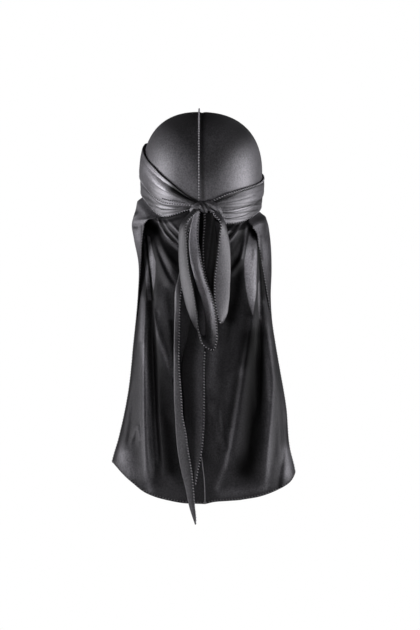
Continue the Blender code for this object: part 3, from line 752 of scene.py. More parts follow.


# Strokes of painted highlight and painted shade: lit fold crests and edges, shaded folds and creases, and
# dark voids
# a line by its place in the frame, half width in pixels, factor
CAPE_PAINTED_SHADING = [
    ([(238, 262), (236, 290), (231, 318)], 5.0, 0.22),
    ([(242, 314), (236, 350), (228, 398)], 3.6, 1.4),
    ([(222, 324), (213, 350), (209, 385)], 6.0, 1.6),
    ([(247, 338), (244, 362)], 6.0, 0.3),
    ([(239, 380), (229, 425)], 4.0, 0.6),
    ([(262, 318), (266, 360), (270, 400)], 2.4, 1.8),
    ([(143, 345), (147.5, 385), (152, 425), (156, 460)], 2.6, 2.0),
    ([(158, 312), (158, 336), (166, 358), (173, 378)], 2.2, 2.4),
    ([(214, 350), (212, 410)], 6.0, 1.7),
    ([(164, 288), (172, 332)], 5.0, 1.8),
    ([(171, 322), (175, 366)], 2.4, 0.25),
    ([(227, 380), (221, 440)], 5.0, 1.5),
    ([(139, 200), (145, 208), (155, 214.5)], 6.0, 7.0),
    ([(263, 212), (254, 220)], 6.0, 5.0),
    ([(142, 262), (142, 300), (141, 340)], 2.4, 2.5),
    ([(157.6, 219), (160, 226), (165.4, 235), (172, 241.5), (180, 247)], 0.7, 7.0),
    ([(162, 220), (168, 230), (179, 242)], 0.7, 4.0),
    ([(167, 220), (172, 226), (180, 234)], 0.7, 4.0),
    ([(147.5, 222), (150.5, 227), (154, 229)], 4.6, 0.05),
    ([(146.2, 236), (148.2, 256), (151, 280), (153, 300)], 0.8, 0.1),
    ([(152.5, 232), (157, 246), (166, 265), (176, 285)], 3.0, 2.4),
    ([(253, 250), (252.4, 259)], 1.0, 0.45),
    ([(249, 230), (247, 246), (244.6, 262)], 1.6, 0.75),
    ([(255.4, 252), (255, 290)], 1.2, 1.25),
    ([(160, 221), (166, 231), (176, 241)], 1.2, 0.15),
    ([(145, 300), (144.5, 380), (145, 440), (149, 490)], 4.5, 2.8),
    ([(150.5, 292), (153, 340), (160, 385), (165, 430), (169, 470)], 5.0, 0.45),
    ([(152, 296), (156, 320), (165, 350), (177, 380)], 3.6, 2.2),
    ([(166, 372), (170, 420), (174, 470)], 5.0, 0.6),
    ([(242, 223), (236, 231), (229, 239), (221, 247)], 1.0, 4.6),
    ([(238, 222), (232, 229), (224, 237)], 1.0, 4.0),
    ([(246.6, 227), (244.6, 242), (242, 258)], 1.3, 4.0),
    ([(241, 225), (236, 234), (229, 243)], 0.9, 4.0),
    ([(244, 227), (240, 240), (232, 254)], 1.4, 0.35),
    ([(252, 230.5), (254.6, 234)], 3.0, 0.04),
    ([(250, 320), (243, 360), (238, 400), (228, 458), (217, 488)], 3.0, 2.6),
    ([(258, 336), (255, 390), (252, 440), (246, 470)], 8.0, 0.1),
    ([(268, 300), (270, 380), (269, 440), (266, 486)], 4.6, 2.8),
    ([(280, 320), (284, 380), (287, 420)], 5.0, 1.8),
    ([(125, 456), (130, 474)], 10.0, 4.0),
    ([(120, 440), (122, 462)], 3.0, 1.3),
    ([(289, 452), (287, 474)], 8.0, 4.4),
    ([(133, 436), (137, 427), (140, 440)], 1.6, 1.7),
    ([(222, 494), (262, 490)], 6.0, 2.4),
    ([(150, 492), (178, 496)], 6.0, 1.3),
    ([(196, 372), (196, 420), (198, 456)], 9.0, 0.5),
    ([(201, 212), (202, 246)], 7.0, 0.06),
    ([(206, 250), (206, 290)], 6.0, 0.3),
    ([(196, 236), (197, 270), (198, 330)], 10.0, 0.6),
]
# Parts of the cape with a clear edge, lit or shaded as a whole
# outline by its place in the frame, softness in pixels, factor
CAPE_PARTS = [
    ([(250, 229), (254.4, 236), (256.8, 241), (256.8, 262), (256, 292), (252.8, 316),
      (249, 304), (246, 290), (244.2, 274), (244, 262), (246.6, 246)], 1.0, 7.5),
    ([(257.6, 238), (262, 238), (263, 262), (264.4, 300), (262, 300), (260, 276), (257.8, 262)], 0.8, 0.15),
    ([(257.8, 284), (259.4, 280), (261, 300), (262, 322), (259, 318), (257.6, 300)], 0.8, 4.0),
    ([(143.4, 236), (145.4, 236), (147.2, 258), (149.8, 282), (151.2, 300), (147.8, 300),
      (145.2, 270)], 0.8, 4.5),
    ([(147.2, 236), (150.2, 236.6), (153, 252), (156, 262), (155.6, 276), (153.8, 292),
      (151.6, 278), (149, 256)], 0.8, 6.5),
    ([(156.5, 224), (162, 238), (170, 246), (179, 252), (179, 276), (170, 264),
      (162, 247), (157, 234)], 1.6, 0.35),
]
# Painted highlight and painted shade in the same form for the turned strips, the crown and the band
FLAP_PAINTED_SHADING = [
    ([(250, 217), (262, 219)], 3.4, 0.55),
    ([(264.4, 222), (265, 240)], 2.6, 0.55),
    ([(137, 198), (142, 208), (150, 216)], 3.0, 1.3),
    ([(134.8, 218), (134.6, 222)], 2.4, 1.7),
    ([(134.0, 214.5), (137, 212.5)], 1.6, 0.3),
    ([(134.6, 227.6), (137, 227.8)], 1.4, 0.35),
    ([(137, 233), (138, 240)], 2.0, 1.4),
    ([(141.6, 226), (142.4, 250)], 0.9, 0.4),
    ([(266, 216), (264, 228), (266, 244)], 5.0, 0.7),
    ([(260.5, 236), (262, 260)], 1.2, 0.4),
    ([(268.4, 232), (269.6, 270)], 1.5, 0.6),
]
CROWN_PAINTED_SHADING = [
    ([(156, 146), (160, 176)], 10.0, 1.2),
    ([(251, 150), (247, 182)], 11.0, 1.5),
    ([(206, 168), (222, 153), (242, 132)], 12.0, 0.42),
    ([(196, 150), (182, 132), (170, 122)], 9.0, 0.62),
    ([(180, 118), (222, 118)], 16.0, 0.72),
    ([(178, 168), (192, 184)], 9.0, 1.1),
    ([(201.6, 114), (201.8, 160), (203, 198)], 1.8, 0.3),
]
BAND_PAINTED_SHADING = [
    ([(149, 168), (156, 178), (166, 187)], 5.5, 2.0),
    ([(149, 188), (158, 197)], 5.0, 0.75),
    ([(172, 187), (182, 193), (194, 201)], 5.0, 0.55),
    ([(146, 208), (160, 214)], 5.0, 0.75),
    ([(150, 161), (160, 173), (172, 183), (184, 191)], 2.6, 0.5),
    ([(174, 189), (184, 196), (198, 202.6)], 3.4, 0.12),
    ([(166, 190), (176, 196), (188, 201)], 0.9, 0.4),
    ([(158, 198.4), (172, 201.4), (187, 204)], 1.1, 0.85),
    ([(142, 196), (156, 203), (172, 207), (188, 207.5)], 1.0, 0.4),
    ([(148, 204), (160, 209), (178, 210), (190, 208.6)], 1.0, 0.45),
    ([(163, 214), (178, 211.6), (190, 208)], 1.0, 0.4),
    ([(160, 206), (172, 208.4)], 1.6, 1.5),
    ([(262, 183.5), (245, 190), (225, 196.5), (209, 204.5)], 1.3, 0.3),
    ([(257, 190), (250, 199)], 5.0, 1.15),
    ([(241, 197), (218, 204)], 6.5, 0.55),
    ([(265, 196.5), (256, 204)], 1.1, 0.35),
    ([(260, 204), (240, 207), (224, 208)], 1.0, 0.4),
    ([(257.6, 210), (236, 213.4), (223, 213)], 1.1, 0.35),
    ([(255, 216), (240, 219), (226, 219)], 1.0, 0.5),
    ([(250, 208), (236, 210.4)], 1.4, 1.5),
    ([(143, 187), (152, 196), (166, 202.6)], 0.8, 0.6),
    ([(146, 200), (158, 205), (178, 207.4)], 0.7, 0.6),
    ([(150, 209), (162, 212.6), (176, 211.6)], 0.7, 0.65),
    ([(264, 200), (246, 203), (226, 205)], 0.7, 0.6),
    ([(262, 207), (246, 209), (226, 210.6)], 0.7, 0.65),
    ([(258, 213), (242, 216.2), (226, 216)], 0.7, 0.6),
    ([(264, 189), (252, 193.6), (238, 198)], 0.7, 0.7),
]
# Rows of slanted ticks where the outer layer of each strap is stitched down, by their places in the frame
# A tick sits on the nearest cloth within TICK_REACH pixels of its place and TICK_RISE nearer the camera
TICK_REACH = 0.8
TICK_RISE = 1.3
TICKS_LEFT = [(161, 199), (165, 200), (170, 201), (175, 202), (180, 203), (185, 204)]
TICKS_RIGHT = [(258, 186), (250, 189.5), (242, 192), (234, 195), (226, 198), (218, 201)]
# Painted highlight on the knot's rolls and painted shade in its middle and creases
KNOT_PAINTED_SHADING = [
    ([(192, 207), (204, 206), (218, 210)], 9.0, 0.62),
    ([(192, 207), (197, 204)], 1.5, 1.5),
    ([(200.5, 204), (204.6, 211)], 0.8, 0.2),
    ([(214, 207), (218, 211)], 1.4, 1.8),
    ([(206.6, 207), (213, 210), (217, 216)], 1.0, 0.25),
    ([(194, 212), (200, 209)], 1.0, 0.3),
]


def in_frame(points):
    """Column and row in the frame of each point."""
    scale = PER_PIXEL * (1 - points[..., 1] / EYE[1])
    return 210 - (points[..., 0] - EYE[0]) / scale, 315 - (points[..., 2] - EYE[2]) / scale


def painted_shading_of(faces, strokes):
    """Painted light and shade over a piece from its strokes, 1 where no stroke comes near."""
    column, row = in_frame(faces[0])
    tone = np.ones(column.shape)
    for line, width, factor in strokes:
        far, _ = reach_of(np.array(line, float), column, row)
        tone = tone * factor ** np.exp(-((far / width) ** 2))
    return tone


def part_tone(points, parts):
    """Tone of the parts with a clear edge, 1 outside all of them."""
    column, row = in_frame(points)
    tone = np.ones(column.shape)
    for outline, soft, factor in parts:
        ring = np.array(outline + outline[:1], float)
        far, _ = reach_of(ring, column, row)
        inside = np.zeros(column.shape, bool)
        for (x0, z0), (x1, z1) in zip(ring, ring[1:]):
            if z0 != z1:
                inside ^= ((z0 > row) != (z1 > row)) & (column < x0 + (x1 - x0) * (row - z0) / (z1 - z0))
        depth = np.where(inside, np.abs(far), -np.abs(far))
        tone = tone * factor ** ease(depth / soft + 0.5)
    return tone


def shaded_below(points, side, table):
    """The dark line that a strap's lower edge throws on the cloth under it."""
    azimuth = np.arctan2(np.abs(points[..., 0]), points[..., 1])
    lower = RISE * along(table, np.degrees(azimuth))[1]
    return 0.06 + 0.94 * ease((lower - 0.4 - points[..., 2]) / 3.2)


def pleats(v, edges):
    """Cloth laid in overlapping pleats: each rises towards its lower edge and drops there."""
    rise = np.zeros(np.shape(v))
    for start, end in zip(edges, edges[1:]):
        t = (v - start) / (end - start)
        inside = (t >= 0) & (t < 1)
        rise = np.where(inside, np.clip(t, 0, 1) ** 0.8 * ease((end - v) / PLEAT_SHARP), rise)
    return rise


def band_layer(table, side, across, down, top, foot, edges, lift, near, far, ridges=()):
    """Part of a strap, from share top to share foot of its width, in pleats that gather at the knot."""
    u, v = grid(across, down)
    u = u**1.35
    v = top + (foot - top) * v
    start, end = table[0][0], table[-1][0] + STRAP_LAP
    degrees = start + (end - start) * u
    upper, lower = RISE * along(table, degrees)
    z = upper + (lower - upper) * v
    azimuth = side * np.radians(degrees)
    rise = WALL + GAP + BAND_LIFT * ease((16 - degrees) / 14) + lift
    rise = rise + (1.8 * ease((degrees - 50) / 35) if side > 0 else 0)
    rise = rise + (WALL + LAP_CLEAR) * ease((degrees - end + 6) / 4)
    depth = near + (far - near) * ease(u * 1.9)
    wave = pleats(v, edges) * depth * ease((degrees - start) / 5)
    roll = 0.5 * (np.exp(-(((v - top) / 0.02) ** 2)) + np.exp(-(((v - foot) / 0.02) ** 2)))
    for middle, half, height, reach in ridges:
        fade = ease((degrees - start) / 5) * ease(1.6 - u / reach)
        wave = wave + height * fade * np.exp(-(((v - middle) / half) ** 2))
    rise = rise + wave - roll
    return [head_at(azimuth, z, rise + CLOTH), head_at(azimuth, z, rise)]


def crown_cloth(side, across, down):
    """Half of the crown, drawn tight from the seam to the band."""
    u, v = grid(across, down)
    azimuth = side * u * np.pi
    tilt = v * rim_tilt(side * np.clip(u * np.pi, 1e-6, np.pi - 1e-6))
    half = HALF_LEFT if side > 0 else HALF_RIGHT
    faces = []
    for off in (WALL, WALL - CLOTH):
        flat = dome_at(azimuth, tilt, off)[..., 0]
        dip = 0.9 * np.exp(-(((flat + 4.0) / 2.6) ** 2)) if side < 0 else 0
        points = dome_at(azimuth, tilt, off - dip)
        reach = np.abs(points[..., 0])
        points[..., 0] = side * (PANEL_MEET + reach * (1 - PANEL_MEET / half))
        faces.append(points)
    return faces


def rounded(faces, bulge):
    """A strap's faces with its middle raised, as a folded strap lies."""
    normal = facing(faces[0])
    columns = faces[0].shape[1]
    v = np.linspace(0, 1, columns)
    rise = bulge * (1 - (2 * v - 1) ** 2) ** 0.7
    return [face + normal * rise[None, :, None] for face in faces]


def dress(name, faces, node, material, tone=None):
    """One closed piece of cloth, which stands for its node. tone scales its colour by place, as painted light
    and shade.
    """
    rows, columns = faces[0].shape[:2]
    points = np.concatenate([face.reshape(-1, 3) for face in faces]) * MM
    index = np.arange(rows * columns).reshape(rows, columns)
    one = np.stack([index[:-1, :-1], index[1:, :-1], index[1:, 1:], index[:-1, 1:]], -1).reshape(-1, 4)
    ring = np.concatenate([index[:, 0], index[-1, 1:], index[-2::-1, -1], index[0, -2:0:-1]])
    after = np.roll(ring, -1)
    far = rows * columns
    rim = np.stack([ring, ring + far, after + far, after], -1)
    quads = np.concatenate([one, one[:, ::-1] + far, rim])
    mesh = bpy.data.meshes.new(name)
    mesh.from_pydata(points.tolist(), [], quads.tolist())
    if tone is not None:
        shade = mesh.attributes.new("tone", "FLOAT", "POINT")
        shade.data.foreach_set("value", np.tile(tone.reshape(-1), 2).astype(np.float32))
    work = bmesh.new()
    work.from_mesh(mesh)
    bmesh.ops.remove_doubles(work, verts=work.verts, dist=1e-7)
    bmesh.ops.recalc_face_normals(work, faces=work.faces)
    for face in work.faces:
        face.smooth = True
    work.to_mesh(mesh)
    work.free()
    return settle(name, mesh, node, material)


def settle(name, mesh, node, material):
    """Puts a mesh into the scene as a piece. A piece without a tone of its own gets an even one."""
    if "tone" not in mesh.attributes:
        shade = mesh.attributes.new("tone", "FLOAT", "POINT")
        shade.data.foreach_set("value", np.ones(len(mesh.vertices), np.float32))
    piece = bpy.data.objects.new(name, mesh)
    piece.data.materials.append(material)
    bpy.context.scene.collection.objects.link(piece)
    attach(piece, "root")
    if node:
        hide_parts(node)
    return piece


def stitches(name, rows, material, size=(1.5, 0.7, 1.0), spacing=3.6, slant=0.5):
    """Thread loops over an edge. Each row is points along it and the outward normals there."""
    ring = np.linspace(0, 2 * np.pi, 7)[:-1]
    lobe = [(0, 0, 1)]
    for tilt in (0.9, 2.2):
        lobe += [(np.sin(tilt) * np.cos(a), np.sin(tilt) * np.sin(a), np.cos(tilt)) for a in ring]
    lobe.append((0, 0, -1))
    lobe = np.array(lobe)
    skin = []
    for k in range(6):
        m = (k + 1) % 6
        skin += [(0, 1 + k, 1 + m), (1 + k, 7 + k, 7 + m), (1 + k, 7 + m, 1 + m), (13, 7 + m, 7 + k)]
    skin = np.array(skin)
    spots, faces = [], []
    for line, normal in rows:
        run = np.concatenate([[0], np.cumsum(np.linalg.norm(np.diff(line, axis=0), axis=1))])
        count = max(2, int(run[-1] / spacing))
        keys = (np.arange(count) + 0.5) / count * run[-1]
        at = np.stack([np.interp(keys, run, line[:, k]) for k in range(3)], -1)
        out = np.stack([np.interp(keys, run, normal[:, k]) for k in range(3)], -1)
        out /= np.linalg.norm(out, axis=1, keepdims=True)
        way = np.gradient(at, axis=0)
        way /= np.maximum(np.linalg.norm(way, axis=1, keepdims=True), 1e-9)
        cross = np.cross(out, way)
        long = cross + slant * way
        long /= np.linalg.norm(long, axis=1, keepdims=True)
        short = np.cross(out, long)
        for k in range(count):
            shape = lobe[:, :1] * long[k] * size[0] + lobe[:, 1:2] * short[k] * size[1]
            shape = shape + lobe[:, 2:] * out[k] * size[2]
            faces.append(skin + len(lobe) * len(spots))
            spots.append(at[k] + shape)
    mesh = bpy.data.meshes.new(name)
    mesh.from_pydata((np.concatenate(spots) * MM).tolist(), [], np.concatenate(faces).tolist())
    for face in mesh.polygons:
        face.use_smooth = True
    return settle(name, mesh, None, material)


def knot_rolls():
    """The turns of the knot: column and row in the frame, off the band, half width and half thickness."""
    return [
        [
            (190.5, 213.0, 0.4, 3.2, 2.0),
            (193.5, 209.4, 2.6, 5.0, 3.2),
            (198.0, 206.4, 3.8, 5.2, 3.6),
            (203.0, 204.6, 2.8, 4.0, 2.8),
            (206.5, 203.6, 0.6, 2.4, 1.6),
        ],
        [
            (203.0, 203.0, 1.4, 2.4, 1.6),
            (207.5, 203.4, 4.4, 3.8, 2.8),
            (212.5, 205.2, 5.8, 4.6, 3.4),
            (217.0, 208.6, 5.6, 4.6, 3.0),
            (220.4, 213.0, 3.8, 3.6, 2.2),
            (221.6, 217.6, 2.0, 2.2, 1.4),
        ],
        [
            (198.6, 203.2, 1.2, 2.4, 1.6),
            (200.6, 205.2, 5.0, 4.2, 3.0),
            (203.0, 208.0, 6.0, 4.4, 3.0),
            (205.4, 211.4, 4.6, 3.4, 2.4),
            (206.6, 214.6, 2.0, 2.2, 1.4),
        ],
    ]


def dress_knot():
    middle = knot_centre()
    base = middle[1] - 0.95 * KNOT_DEEP
    points, quads = [], []
    around, steps = 40, 48
    for number, table in enumerate(knot_rolls()):
        rows = []
        for column, row, off, wide, deep in table:
            x, z = seen(column, row, 104.0)
            rows.append((x, base + off, z, wide, deep))
        keys = np.linspace(0, 1, len(rows))
        x, y, z, wide, deep = along(np.column_stack([keys, rows]).tolist(), np.linspace(0, 1, steps))
        line = np.stack([x, y, z], -1)
        way = np.gradient(line, axis=0)
        way /= np.linalg.norm(way, axis=1, keepdims=True)
        out = np.array([0, 1, 0]) - way * way[:, 1:2]
        out /= np.linalg.norm(out, axis=1, keepdims=True)
        across = np.cross(way, out)
        turn = np.linspace(0, 2 * np.pi, around, endpoint=False)
        pleat = 1 + 0.07 * np.cos(7 * turn + number) + 0.04 * np.cos(11 * turn + 2)
        close = np.clip(np.sin(np.pi * np.linspace(0, 1, steps)), 0.04, 1) ** 0.35
        for k in range(steps):
            ring = across[k] * (np.cos(turn) * wide[k] * pleat * close[k])[:, None]
            ring = ring + out[k] * (np.sin(turn) * deep[k] * pleat * close[k])[:, None]
            points.append(line[k] + ring)
        first = number * steps * around
        for k in range(steps - 1):
            for m in range(around):
                n = (m + 1) % around
                a, b = first + k * around, first + (k + 1) * around
                quads.append((a + m, a + n, b + n, b + m))
        quads.append(tuple(first + m for m in range(around))[::-1])
        quads.append(tuple(first + (steps - 1) * around + m for m in range(around)))
    mesh = bpy.data.meshes.new("knot_turns")
    mesh.from_pydata((np.concatenate(points) * MM).tolist(), [], quads)
    work = bmesh.new()
    work.from_mesh(mesh)
    bmesh.ops.recalc_face_normals(work, faces=work.faces)
    for face in work.faces:
        face.smooth = True
    work.to_mesh(mesh)
    work.free()
    places = np.array([vertex.co for vertex in mesh.vertices]) / MM
    # Painted highlight and painted shade on the knot, from its strokes
    shade = mesh.attributes.new("tone", "FLOAT", "POINT")
    shade.data.foreach_set("value", painted_shading_of([places[None]], KNOT_PAINTED_SHADING)[0].astype(np.float32))
    return settle("knot_turns", mesh, "knot", tie)


def edge_row(faces, column=None, row=None, inset=1):
    """Points and normals along one edge of a piece, half way through its cloth."""
    middle = (faces[0] + faces[1]) / 2
    normal = facing(middle)
    if column is not None:
        place = inset if column == 0 else middle.shape[1] - 1 - inset
        return middle[:, place], normal[:, place]
    place = inset if row == 0 else middle.shape[0] - 1 - inset
    return middle[place], normal[place]


def set_inputs(made, values):
    for socket, value in values.items():
        made.inputs[socket].default_value = value


def add_node(nodes, kind, values=None, **settings):
    """A new shader node with its settings and input values."""
    made = nodes.new("ShaderNode" + kind)
    for setting, value in settings.items():
        setattr(made, setting, value)
    set_inputs(made, values or {})
    return made


def cloth(name, dark, light, rough, grain, specular, gloss_share=0.0):
    """Satin: a fine diagonal twill, a soft broad gloss and a little cloud in the tone."""
    material = bpy.data.materials.new(name)
    material.use_nodes = True
    nodes, join = material.node_tree.nodes, material.node_tree.links.new
    shader = nodes["Principled BSDF"]
    set_inputs(shader, {"Specular IOR Level": specular, "Metallic": gloss_share})
    set_inputs(shader, {"Sheen Weight": 0.01, "Sheen Roughness": 0.35})
    place_at = add_node(nodes, "TexCoord")
    turn = add_node(nodes, "Mapping", {"Rotation": (0, 0.75, 0)})
    twill = add_node(nodes, "TexWave", {"Scale": 330, "Distortion": 1.5, "Detail Scale": 3})
    cloud = add_node(nodes, "TexNoise", {"Scale": 14, "Detail": 3})
    speck = add_node(nodes, "TexNoise", {"Scale": 520, "Detail": 2})
    tone = add_node(nodes, "Mix", {"A": dark + (1,), "B": light + (1,)}, data_type="RGBA")
    weave = add_node(nodes, "Math", {1: 2.4, 2: -1.2}, operation="MULTIPLY_ADD")
    mixed = add_node(nodes, "Math", operation="ADD", use_clamp=True)
    # The tone attribute scales the colour by place: painted light and shade
    shade = add_node(nodes, "Attribute", attribute_name="tone")
    scaled = add_node(nodes, "VectorMath", operation="SCALE")
    gloss_values = {"From Min": 0.25, "From Max": 0.75, "To Min": rough - grain, "To Max": rough + grain}
    gloss = add_node(nodes, "MapRange", gloss_values)
    fine = add_node(nodes, "Math", operation="ADD")
    bump = add_node(nodes, "Bump", {"Strength": 0.35, "Distance": 0.00012})
    join(place_at.outputs["Object"], turn.inputs["Vector"])
    join(turn.outputs["Vector"], twill.inputs["Vector"])
    join(place_at.outputs["Object"], cloud.inputs["Vector"])
    join(place_at.outputs["Object"], speck.inputs["Vector"])
    join(speck.outputs["Fac"], weave.inputs[0])
    join(cloud.outputs["Fac"], mixed.inputs[0])
    join(weave.outputs[0], mixed.inputs[1])
    join(mixed.outputs[0], tone.inputs["Factor"])
    join(tone.outputs["Result"], scaled.inputs[0])
    join(shade.outputs["Fac"], scaled.inputs["Scale"])
    join(scaled.outputs["Vector"], shader.inputs["Base Color"])
    join(speck.outputs["Fac"], gloss.inputs["Value"])
    join(gloss.outputs["Result"], shader.inputs["Roughness"])
    join(twill.outputs["Fac"], fine.inputs[0])
    join(speck.outputs["Fac"], fine.inputs[1])
    join(fine.outputs[0], bump.inputs["Height"])
    join(bump.outputs["Normal"], shader.inputs["Normal"])
    return material


def grey(value):
    """A nearly neutral black cloth's colour, a little towards violet."""
    return (value, value * 0.965, value * 1.06)


satin = cloth("satin_cape", grey(0.011), grey(0.022), 0.46, 0.06, 0.05, 0.5)
crown_satin = cloth("satin_crown", grey(0.060), grey(0.115), 0.50, 0.06, 0.30, 0.55)
tie = cloth("satin_tie", grey(0.080), grey(0.145), 0.42, 0.06, 0.30, 0.55)
thread = cloth("serged_thread", grey(0.20), grey(0.34), 0.55, 0.05, 0.4)
tick_thread = cloth("tick_thread", grey(0.006), grey(0.01), 0.6, 0.05, 0.2)
dark_thread = cloth("edge_thread", grey(0.08), grey(0.13), 0.6, 0.05, 0.4)

crown = {side: crown_cloth(sign, 150, 110) for side, sign in (("left", 1), ("right", -1))}
# The crown's colour carries painted highlights at its sides and painted shade over its top and beside the
# seam
for side, faces in crown.items():
    dress(f"crown_{side}", faces, f"crown_panel_{side}", crown_satin, painted_shading_of(faces, CROWN_PAINTED_SHADING))
crown_fin = crown_seam(260)
dress("crown_seam_fin", crown_fin, "crown_seam", dark_thread)
dress("front_band", front_hem(140, 36), "front_hem", tie)

left_under = band_layer(STRAP_LEFT, 1, 220, 90, 0.55, 1.0, (0.50, 0.72, 0.84, 1.05), 0.0, 1.1, 0.3)
left_over = band_layer(
    STRAP_LEFT, 1, 220, 110, 0.0, 0.66, (-0.10, 0.36, 0.50, 0.85), 1.3, 0.7, 0.0,
    ((0.30, 0.12, 1.9, 0.42), (0.12, 0.05, -0.8, 0.5), (0.52, 0.08, 0.6, 0.6)),
)
right_under = band_layer(STRAP_RIGHT, -1, 220, 90, 0.45, 1.0, (0.40, 0.66, 0.84, 1.05), 0.0, 1.1, 0.3)
right_over = band_layer(
    STRAP_RIGHT, -1, 220, 100, 0.0, 0.58, (-0.05, 0.10, 0.34, 0.70), 1.3, 0.7, 0.1,
    ((0.26, 0.12, 1.2, 0.5), (0.46, 0.07, 0.5, 0.6)),
)
for name, faces, node in (
    ("band_left_under", left_under, "strap_left"),
    ("band_left_over", left_over, "strap_left"),
    ("band_right_under", right_under, "strap_right"),
    ("band_right_over", right_over, "strap_right"),
):
    # Painted highlight and painted shade on the straps' pleats and folds, and painted shade along both edges
    # of each layer
    shade = painted_shading_of(faces, BAND_PAINTED_SHADING)
    shade[:, :3] *= 0.3
    shade[:, -3:] *= 0.3
    dress(name, faces, node, tie, shade)

cape = {side: cape_cloth(sign, 170, 240) for side, sign in (("left", 1), ("right", -1))}
for side, (faces, tone) in cape.items():
    dress(f"cape_{side}", faces, f"cape_panel_{side}", satin, tone)
dress("cape_seam_line", cape_seam(200), "cape_seam", dark_thread)

# How much further the back run of the right loop opens than its solid does, row by row of LOOP_RIGHT
BACK_OPEN = 9 * [0] + [0.045, 0.235, 0.260, 0.210, 0.147]
loop_open = [(row[0] + more, *row[1:]) for row, more in zip(LOOP_RIGHT, BACK_OPEN)]
strips = {
    "loop_left": (rounded(bow_loop(LOOP_LEFT, LOOP_LEFT_LENGTH, 260, 16), 1.3), "bow_loop_left"),
    "loop_right": (rounded(bow_loop(loop_open, LOOP_RIGHT_LENGTH, 220, 16), 1.3), "bow_loop_right"),
    "end_left": (rounded(hanging_end(END_LEFT, END_LEFT_LENGTH, 260, 14), 0.9), "tie_end_left"),
    "end_right": (rounded(hanging_end(END_RIGHT, END_RIGHT_LENGTH, 240, 14), 0.9), "tie_end_right"),
}
# Painted light and shade down each strap, and across it from its first edge to its other one
STRIP_SHADING_DOWN = {
    "loop_left": [(0, 0.3), (0.5, 0.36), (0.56, 0.5), (0.65, 1.6), (1, 4.0)],
    "loop_right": [(0, 0.5), (0.5, 0.55), (0.56, 0.15), (0.8, 0.1), (1, 0.1)],
    "end_left": [(0, 0.5), (1, 0.36)],
    "end_right": [(0, 0.02), (0.12, 0.04), (0.3, 0.09), (0.5, 0.12), (1, 0.16)],
}
# Strokes of painted highlight and painted shade on the loops
STRIP_PAINTED_SHADING = {
    "loop_right": [
        ([(214.4, 216), (211.6, 240), (208, 268)], 0.9, 0.3),
        ([(212.6, 216), (209.6, 240), (206, 268)], 0.8, 2.0),
        ([(216.4, 222), (215, 245), (212.4, 275), (212, 290)], 1.2, 0.2),
        ([(214.4, 216), (220, 221)], 1.4, 0.5),
    ],
    "loop_left": [([(197.6, 250), (200.5, 266), (206, 284), (211, 300)], 2.2, 0.6)],
}
# Painted light and shade across each end: at its first edge, at 0.45, at 0.75 and at its other edge
STRIP_SHADING_ACROSS = {"end_right": (0.4, 0.7, 3.0, 3.6), "end_left": (1.2, 1.0, 0.8, 0.8)}
# Painted shade in the gap along each strap's stitched edge
STITCHED_EDGE_SHADE = 0.12
# The second end, which lies in shade, is drawn in the cape's darker, less glossy satin; its painted shading
# is scaled by this to suit that satin
SHADED_END_SCALE = 5.6
for name, (faces, node) in strips.items():
    rows, columns = faces[0].shape[:2]
    keys, values = zip(*STRIP_SHADING_DOWN[name])
    shade = np.interp(np.linspace(0, 1, rows), keys, values)
    sides = STRIP_SHADING_ACROSS.get(name, (1, 1, 1, 1))
    shade = shade[:, None] * np.interp(np.linspace(0, 1, columns), (0, 0.45, 0.75, 1), sides)
    shade = shade * painted_shading_of(faces, STRIP_PAINTED_SHADING.get(name, []))
    # Painted shade along the stitched edge
    if (name, 0) in STITCHED:
        shade[:, :2] *= STITCHED_EDGE_SHADE
    else:
        shade[:, -2:] *= STITCHED_EDGE_SHADE
    # The second end in the cape's darker satin, as painted shade
    shaded_end = name == "end_right"
    dress(name, faces, node, satin if shaded_end else tie, shade * (SHADED_END_SCALE if shaded_end else 1))

dress_knot()

rows = [edge_row(strips[name][0], column=column) for name, column in STITCHED]
# The second end's stitches start where it comes out below the loops
hidden_end = STITCHED.index(("end_right", 1))
line, normal = rows[hidden_end]
bare = int(np.argmax(line[:, 2] < seen(206, 350)[1]))
rows[hidden_end] = line[bare:], normal[bare:]
rows.append(edge_row([face[::-1] for face in crown_fin], column=1, inset=0))
stitches("strap_stitches", rows, thread)
hems = [edge_row(faces, row=1) for faces, _ in cape.values()]
hems += [edge_row(faces, column=1) for faces, _ in cape.values()]
stitches("cape_stitches", hems, dark_thread)
ticks = []
for layers, line in (((left_over, left_under), TICKS_LEFT), ((right_over, right_under), TICKS_RIGHT)):
    places = np.concatenate([faces[0].reshape(-1, 3) for faces in layers])
    normal = np.concatenate([facing(faces[0]).reshape(-1, 3) for faces in layers])
    column, row = in_frame(places)
    spots = []
    for at_column, at_row in line:
        near = np.hypot(column - at_column, row - at_row) < TICK_REACH
        spots.append(np.argmax(np.where(near, places[:, 1], -1e6)))
    ticks.append((places[spots] + (0, TICK_RISE, 0), normal[spots]))
stitches("band_ticks", ticks, tick_thread, (1.6, 0.6, 0.55), 3.2, 0.9)
band_edges = [
    edge_row(left_over, column=1, inset=3),
    edge_row(right_over, column=0, inset=6),
    edge_row(left_under, column=1, inset=3),
    edge_row(right_under, column=1, inset=3),
]
stitches("band_stitches", band_edges, thread)


def softbox(name, at, aim, size, power):
    light = bpy.data.lights.new(name, "AREA")
    light.shape = "RECTANGLE"
    light.size, light.size_y = size
    light.energy = power
    lamp = bpy.data.objects.new(name, light)
    lamp.location = at
    lamp.rotation_euler = (Vector(aim) - Vector(at)).to_track_quat("-Z", "Y").to_euler()
    bpy.context.scene.collection.objects.link(lamp)
    return lamp


softbox("key_left", (2.1, 0.25, -0.35), (0, 0, -0.2), (1.8, 1.6), 68)
softbox("key_right", (-2.1, 0.25, -0.35), (0, 0, -0.2), (1.8, 1.6), 68)
softbox("front", (0.3, 2.9, -1.1), (0, 0, -0.25), (2.4, 1.2), 40)

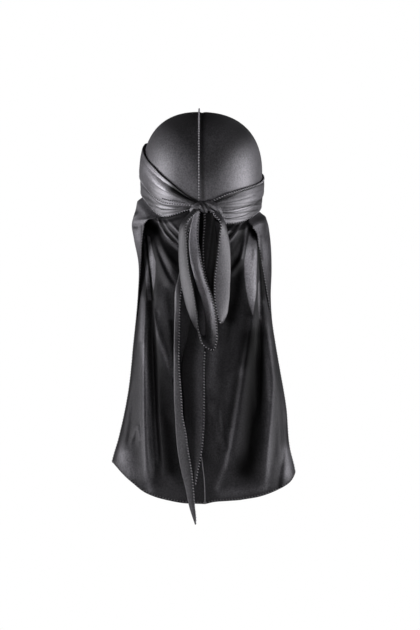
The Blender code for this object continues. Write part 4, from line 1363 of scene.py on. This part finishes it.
world = bpy.data.worlds.new("studio")
bpy.context.scene.world = world
world.use_nodes = True
nodes, join = world.node_tree.nodes, world.node_tree.links.new
back = nodes["Background"]
look = add_node(nodes, "TexCoord")
split = add_node(nodes, "SeparateXYZ")
height_values = {"From Min": -0.75, "From Max": 0.45, "To Min": 0.26, "To Max": 0.02}
height = add_node(nodes, "MapRange", height_values, interpolation_type="SMOOTHSTEP")
set_inputs(back, {"Color": (1, 0.98, 1, 1)})
seen_by_eye = add_node(nodes, "Background", {"Color": (1, 1, 1, 1)})
path = add_node(nodes, "LightPath")
mix = add_node(nodes, "MixShader")
join(look.outputs["Generated"], split.inputs[0])
join(split.outputs["Z"], height.inputs["Value"])
join(height.outputs["Result"], back.inputs["Strength"])
join(path.outputs["Is Camera Ray"], mix.inputs[0])
join(back.outputs[0], mix.inputs[1])
join(seen_by_eye.outputs[0], mix.inputs[2])
join(mix.outputs[0], nodes["World Output"].inputs["Surface"])

camera_data = bpy.data.cameras.new("camera")
camera_data.lens = 104.7
camera = bpy.data.objects.new("camera", camera_data)
camera.location = [c * MM for c in EYE]
camera.rotation_euler = (np.pi / 2, 0, np.pi)
bpy.context.scene.collection.objects.link(camera)
bpy.context.scene.camera = camera
bpy.context.scene.view_settings.view_transform = "Standard"

# A pale floor well below the hem
corners = [(x, y, FLOOR_DROP) for x, y in ((-3, -3), (3, -3), (3, 3), (-3, 3))]
ground = bpy.data.meshes.new("floor")
ground.from_pydata(corners, [], [(0, 1, 2, 3)])
floor = bpy.data.objects.new("floor", ground)
paint = bpy.data.materials.new("pale_floor")
paint.use_nodes = True
nodes, join = paint.node_tree.nodes, paint.node_tree.links.new
matt = nodes["Principled BSDF"]
set_inputs(matt, {"Base Color": (0.7, 0.7, 0.7, 1), "Roughness": 0.9})
plain = add_node(nodes, "Emission")
path = add_node(nodes, "LightPath")
either = add_node(nodes, "MixShader")
join(path.outputs["Is Camera Ray"], either.inputs[0])
join(matt.outputs[0], either.inputs[1])
join(plain.outputs[0], either.inputs[2])
join(either.outputs[0], nodes["Material Output"].inputs["Surface"])
ground.materials.append(paint)
bpy.context.scene.collection.objects.link(floor)
